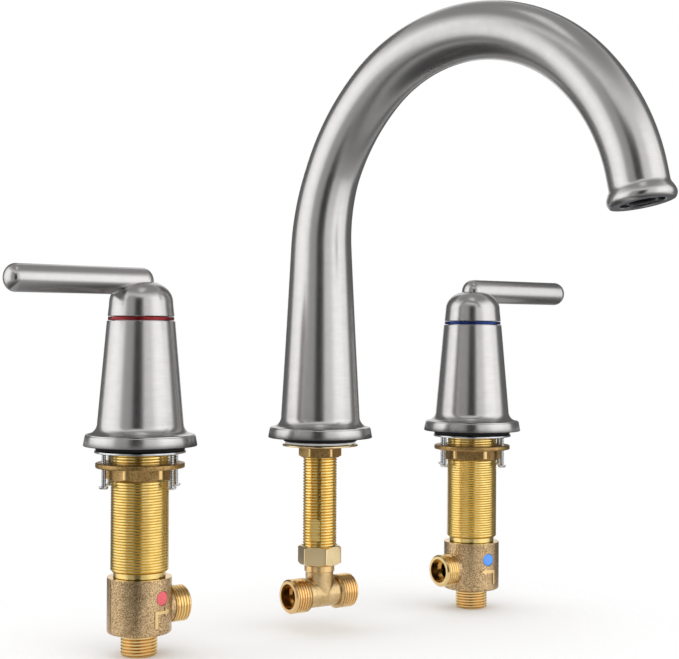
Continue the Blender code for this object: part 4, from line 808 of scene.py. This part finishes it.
for side, facts in sides.items():
    body, dot = makeValveBody(side, facts["way"])
    shift = (facts["way"] * spread, 0, 0)
    finishPiece(place(body, shift=shift), "sandCastBrass", "faucet", side + "_valve_body")
    finishPiece(place(dot, shift=shift), facts["paint"], "faucet", side + "_colour_dot")
print("valve bodies made")


# Spout fixings, union and tee

fixings = {"bore": 0.0109, "edge": 0.0003,  # the rings are a radius, a bottom and a top
           "gasket": (0.0229, -0.0022, 0.0002), "spacer": (0.0219, -0.0038, -0.0025),
           "clamp": (0.0236, -0.0052, -0.0041), "notch": 0.003, "notchHeight": 0.003, "notchTurn": 60.0}
spoutNut = {"flats": 0.0236, "corner": 0.001, "bottom": -0.0123, "top": -0.0055, "turn": 2.4,
            "dressed": 0.0129}
stem = {"bottom": -0.0742, "top": 0.0052, "end": 0.0095, "chamfer": 0.001, "bore": 0.0078,
        "flatWidth": 0.0068, "flatHeight": 0.0132, "flatCentre": -0.057, "flatTurn": -142.0}
unionNut = {"flats": 0.0242, "corner": 0.0006, "bottom": -0.0791, "top": -0.0673, "turn": -11.6,
            "lip": 0.0013, "gap": 0.0004}
tee = {"height": -0.0975, "reach": 0.0235, "thread": 0.0095, "run": 0.0085, "runEdge": 0.0003,
       "branch": 0.0087, "branchEdge": 0.0002, "overlap": 0.001, "nippleRoot": 0.003,
       "collar": 0.0094, "collarEdge": 0.0004, "collarBottom": -0.0836, "collarTop": -0.0794,
       "neck": 0.0082, "flange": 0.0098, "flangeBottom": -0.0775, "flangeTop": -0.0763, "rise": 0.0058}


def makeClampRing(name):
    radius, bottom, top = fixings[name]
    outline = ringOutline(fixings["bore"], radius, bottom, top, fixings["edge"])
    ring = turnOutline("spout" + name.capitalize(), outline)
    if name == "clamp":
        turn = viewedFrom + math.radians(fixings["notchTurn"])
        spot = (radius * math.cos(turn), radius * math.sin(turn), (bottom + top) / 2)
        notch = (2 * fixings["notch"], fixings["notch"], fixings["notchHeight"])
        combine(ring, makeBox(notch, (0, 0, turn), spot))
    return ring


def makeSpoutNut():
    flats, bottom, top = spoutNut["flats"], spoutNut["bottom"], spoutNut["top"]
    turn = viewedFrom + math.radians(spoutNut["turn"])
    nut = hexBar("spoutNut", flats, bottom, top, turn, spoutNut["corner"])
    chamferEnds(nut, flats, bottom, top)
    bore = rodOutline(fixings["bore"], bottom - overrun, top + overrun, hairline)
    combine(nut, turnOutline("bore", bore))
    # the corners are painted pale: a painted highlight
    markCutAndHighlit(nut, lambda spot: spot.xy.length > spoutNut["dressed"], "FACE")
    return nut


def makeStem():  # the spout's threaded shank, with a milled flat
    bottom, top, end, radius = stem["bottom"], stem["top"], stem["end"], threads["half"]["radius"]
    piece = turnOutline("spoutShank", [
        (stem["bore"], bottom), (end, bottom), (radius, bottom + stem["chamfer"]),
        (radius, top - stem["chamfer"]), (end, top), (stem["bore"], top)])
    cutThread(piece, "half", bottom, top)
    depth = radius - math.sqrt(radius ** 2 - (stem["flatWidth"] / 2) ** 2)
    turn = math.radians(stem["flatTurn"])
    spot = (radius * math.cos(turn), radius * math.sin(turn), stem["flatCentre"])
    combine(piece, makeBox((2 * depth, stem["flatWidth"], stem["flatHeight"]), (0, 0, turn), spot))
    return piece


def makeUnionNut():
    flats, bottom, top, lip = unionNut["flats"], unionNut["bottom"], unionNut["top"], unionNut["lip"]
    turn = viewedFrom + math.radians(unionNut["turn"])
    nut = hexBar("unionNut", flats, bottom, top, turn, unionNut["corner"])
    chamferEnds(nut, flats, bottom, top)
    neck, bore = tee["neck"] + unionNut["gap"], fixings["bore"]
    combine(nut, turnOutline("bore", [
        (0.0, bottom - overrun), (neck, bottom - overrun), (neck, bottom + lip), (bore, bottom + lip),
        (bore, top + overrun), (0.0, top + overrun)]))
    return nut


def makeTee():
    level, threadStart, overlap = (0, 0, tee["height"]), tee["reach"] - tee["thread"], tee["overlap"]
    run = rodOutline(tee["run"], -threadStart - overlap, threadStart + overlap, tee["runEdge"])
    body = place(turnOutline("teeBody", run), (0, math.pi / 2, 0), level)
    collarBottom, collarTop = tee["collarBottom"], tee["collarTop"]
    branch = rodOutline(tee["branch"], tee["height"] - overlap, collarBottom + overlap, tee["branchEdge"])
    combine(body, turnOutline("branch", branch), "UNION")
    softenCasting(body)
    radius, edge, neck = tee["collar"], tee["collarEdge"], tee["neck"]
    flange, flangeBottom, flangeTop = tee["flange"], tee["flangeBottom"], tee["flangeTop"]
    collar = turnOutline("collar", [
        (0.0, collarBottom), (radius - edge, collarBottom), (radius, collarBottom + edge),
        (radius, collarTop - edge), (radius - edge, collarTop), (neck, collarTop), (neck, flangeBottom),
        (flange, flangeBottom), (flange, flangeTop), (0.0, flangeTop)])
    combine(body, collar, "UNION")
    for way in (-1, 1):
        end = makeNipple("nipple", threadStart - tee["nippleRoot"], tee["reach"])
        combine(body, place(end, (0, way * math.pi / 2, 0), level), "UNION")
    for way in (-1, 1):
        combine(body, place(steppedBore("bore", -overlap, tee["reach"]), (0, way * math.pi / 2, 0), level))
    rise = rodOutline(tee["rise"], tee["height"], flangeTop + overrun, hairline)
    combine(body, turnOutline("rise", rise))
    markCutAndHighlit(body, lambda spot: abs(spot.x) > threadStart or spot.z > collarBottom)
    return body


finishPiece(makeClampRing("gasket"), "blackRubber", "faucet", "spout_gasket")
finishPiece(makeClampRing("spacer"), "whiteNylon", "faucet", "spout_spacer")
finishPiece(makeClampRing("clamp"), "milledBrass", "faucet", "spout_clamp_washer")
finishPiece(makeSpoutNut(), "castNutBrass", "faucet", "spout_nut")
finishPiece(makeStem(), "turnedBrass", "faucet", "spout_shank")
finishPiece(makeUnionNut(), "milledBrass", "faucet", "union_nut")
finishPiece(makeTee(), "forgedBrass", "faucet", "tee")
print("spout fixings and tee made")


# Pieces that keep their CAD shape

slotFinish = {facts["slot"]: name for name, facts in finishes.items()}
nodeSlot = {entry["node"]: entry["material_slot"] for entry in frame["record"]["subparts"]}
for name, node in frame["nodes"].items():
    if node.hide_render:
        continue
    node.data.materials.clear()
    node.data.materials.append(materials[slotFinish[nodeSlot[name]]])
print("inner pieces finished")


# Studio

look = Vector((0.5861, 0.8102, 0.0)).normalized()  # the way that the camera faces, level
right = Vector((look.y, -look.x, 0.0))
# focal and width are in pixels of the picture, pitch and roll in degrees, the sensor in mm
viewer = {"depth": 0.8744, "offset": 0.0117, "height": 0.0636, "focal": 1395.5, "width": 679.0,
          "pitch": 0.26, "roll": 0.34, "sensor": 36.0}
# Places are degrees round the spout, from 0 at the camera, minus to its left, and metres.
# The metal mirrors all of this. The cards are black and grey felt, as a photographer sets them round
# bright pieces to draw their edges, and the soft lamps stand before a white wall.
studio = {
    "floorColour": "#fafafa", "floorRadius": 0.75, "floorFade": (0.14, 0.27), "floorGap": 0.0002,
    "fill": 1.05,
    # turn, distance, height, height that it is aimed at, size, watts
    "lamps": {"leftSoftbox": (-80, 1.5, 0.35, 0.35, (1.73, 1.8), 3.7),
              "leftCentre": (-78, 1.5, 0.3, 0.3, (0.8, 1.3), 0.7),
              "rightSoftbox": (69, 1.5, 0.35, 0.35, (1.75, 1.8), 3.8),
              "rightCentre": (62, 1.5, 0.3, 0.3, (0.86, 1.3), 0.8),
              "overhead": (0, 0.45, 1.8, 0.1, (0.4, 0.9), 0.8)},
    # turn, distance, height, size, colour
    "cards": {"leftEdgeCard": (-140, 1.9, 1.0, (1.77, 3.4), "#686868"),
              "rightEdgeCard": (137, 1.9, 1.0, (2.47, 3.4), "#686868"),
              "gapCard": (-3, 1.7, 0.1, (0.84, 1.8), "#101010"),
              "greyCard": (-30, 1.8, 0.3, (1.07, 2.2), "#aeaeae")},
    # height, radius, colour in the middle, colour at the rim, the radii between which one turns into the
    # other, and whether the card also shows from below. The deck card must not: brass hangs under it
    "levels": {"deckCard": (-0.0006, 0.25, "#505050", "#b0b0b0", (0.1, 0.22), False),
               "groundCard": (-0.45, 4.0, "#484848", "#dedede", (0.45, 2.5), True),
               "ceilingCard": (2.2, 2.5, "#9c9c9c", "#f0f0f0", (1.2, 2.5), True)},
    "felt": {"Roughness": 0.9, "Specular IOR Level": 0.1}, "discSides": 96,
}


def studioPoint(turn, distance, height):
    turn = math.radians(turn)
    spot = (right * math.sin(turn) - look * math.cos(turn)) * distance
    return Vector((spot.x, spot.y, height))


def facing(spot, target):
    return (target - spot).to_track_quat("Z", "Y").to_euler()


def paint(name, colour):
    material = bpy.data.materials.new(name)
    material.use_nodes = True
    shader = material.node_tree.nodes["Principled BSDF"]
    shader.inputs["Base Color"].default_value = linear(colour)
    for socket, value in studio["felt"].items():
        shader.inputs[socket].default_value = value
    return material


def makeDisc(name, radius, height, colour):
    bpy.ops.object.select_all(action="DESELECT")
    bpy.ops.mesh.primitive_circle_add(vertices=studio["discSides"], radius=radius, fill_type="NGON",
                                      location=(0, 0, height))
    disc = bpy.context.active_object
    disc.name = name
    disc.data.materials.append(paint(name, colour))
    return disc, disc.data.materials[0].node_tree


def addRadialFade(tree, near, far):  # 0 up to near and 1 from far on, by the distance from the middle
    spot = addNode(tree, "ShaderNodeTexCoord").outputs["Object"]
    level = addNode(tree, "ShaderNodeVectorMath", {"operation": "MULTIPLY"}, {0: spot, 1: (1, 1, 0)})
    reach = addNode(tree, "ShaderNodeVectorMath", {"operation": "LENGTH"}, {0: level.outputs[0]})
    return addNode(tree, "ShaderNodeMapRange", {"interpolation_type": "SMOOTHSTEP"},
                   {"Value": reach.outputs["Value"], "From Min": near, "From Max": far}).outputs["Result"]


def addClearing(tree, share):  # lets the paint go clear where share is 1
    shader, clear = tree.nodes["Principled BSDF"], addNode(tree, "ShaderNodeBsdfTransparent")
    mix = addNode(tree, "ShaderNodeMixShader", None, {0: share, 1: shader.outputs[0], 2: clear.outputs[0]})
    tree.links.new(mix.outputs[0], tree.nodes["Material Output"].inputs["Surface"])


def makeFloor():  # pale round the object, and gone where the white backdrop takes over
    height = cadBox[0][2] - studio["floorGap"]
    floor, tree = makeDisc("floor", studio["floorRadius"], height, studio["floorColour"])
    addClearing(tree, addRadialFade(tree, *studio["floorFade"]))


def makeBackdrop():  # white behind everything and in what the metal mirrors, and a soft fill light
    world = bpy.data.worlds.new("studio")
    bpy.context.scene.world = world
    world.use_nodes = True
    tree = world.node_tree
    tree.nodes.clear()
    path = addNode(tree, "ShaderNodeLightPath")
    mirrored = addNode(tree, "ShaderNodeMath", {"operation": "MAXIMUM"},
                       {0: path.outputs["Is Camera Ray"], 1: path.outputs["Is Glossy Ray"]})
    shown = addNode(tree, "ShaderNodeMath", {"operation": "MAXIMUM"},
                    {0: mirrored.outputs[0], 1: path.outputs["Is Transmission Ray"]})
    fill = addNode(tree, "ShaderNodeBackground", None, {"Color": (1, 1, 1, 1), "Strength": studio["fill"]})
    white = addNode(tree, "ShaderNodeBackground", None, {"Color": (1, 1, 1, 1), "Strength": 1.0})
    mix = addNode(tree, "ShaderNodeMixShader", None,
                  {0: shown.outputs[0], 1: fill.outputs[0], 2: white.outputs[0]})
    addNode(tree, "ShaderNodeOutputWorld", None, {"Surface": mix.outputs[0]})


def onlyReflected(card):  # a card shows in the metal and keeps no light off the floor
    card.visible_camera = card.visible_diffuse = card.visible_shadow = False


def makeCards():
    for name, (turn, distance, height, size, colour) in studio["cards"].items():
        spot = studioPoint(turn, distance, height)
        bpy.ops.object.select_all(action="DESELECT")
        bpy.ops.mesh.primitive_plane_add(size=1, location=spot,
                                         rotation=facing(spot, Vector((0, 0, height))))
        card = bpy.context.active_object
        card.name = name
        card.scale = (size[0], size[1], 1)
        card.data.materials.append(paint(name, colour))
        onlyReflected(card)
    for name, (height, radius, middle, rim, (near, far), fromBelow) in studio["levels"].items():
        card, tree = makeDisc(name, radius, height, rim)
        tint = addNode(tree, "ShaderNodeMix", {"data_type": "RGBA"},
                       {0: addRadialFade(tree, near, far), 6: linear(middle), 7: linear(rim)})
        tree.links.new(tint.outputs[2], tree.nodes["Principled BSDF"].inputs["Base Color"])
        if not fromBelow:
            addClearing(tree, addNode(tree, "ShaderNodeNewGeometry").outputs["Backfacing"])
        onlyReflected(card)


def makeLamps():
    for name, (turn, distance, height, aim, size, power) in studio["lamps"].items():
        data = bpy.data.lights.new(name, "AREA")
        data.shape, data.size, data.size_y, data.energy = "RECTANGLE", size[0], size[1], power
        lamp = bpy.data.objects.new(name, data)
        lamp.location = studioPoint(turn, distance, height)
        lamp.rotation_euler = facing(Vector((0, 0, aim)), lamp.location)
        bpy.context.collection.objects.link(lamp)


def makeCamera():
    data = bpy.data.cameras.new("camera")
    data.sensor_width = viewer["sensor"]
    data.lens = viewer["focal"] / viewer["width"] * data.sensor_width
    camera = bpy.data.objects.new("camera", data)
    bpy.context.collection.objects.link(camera)
    pitch, roll = math.radians(viewer["pitch"]), math.radians(viewer["roll"])
    ahead = look * math.cos(pitch) + Vector((0, 0, math.sin(pitch)))
    axes = Matrix((right, right.cross(ahead), -ahead)).transposed()
    turn = axes @ Matrix.Rotation(roll, 3, "Z")
    spot = right * viewer["offset"] - look * viewer["depth"]
    camera.matrix_world = Matrix.Translation((spot.x, spot.y, viewer["height"])) @ turn.to_4x4()
    bpy.context.scene.camera = camera


makeFloor()
makeBackdrop()
makeCards()
makeLamps()
makeCamera()
bpy.context.scene.view_settings.view_transform = "Standard"
print("studio made")
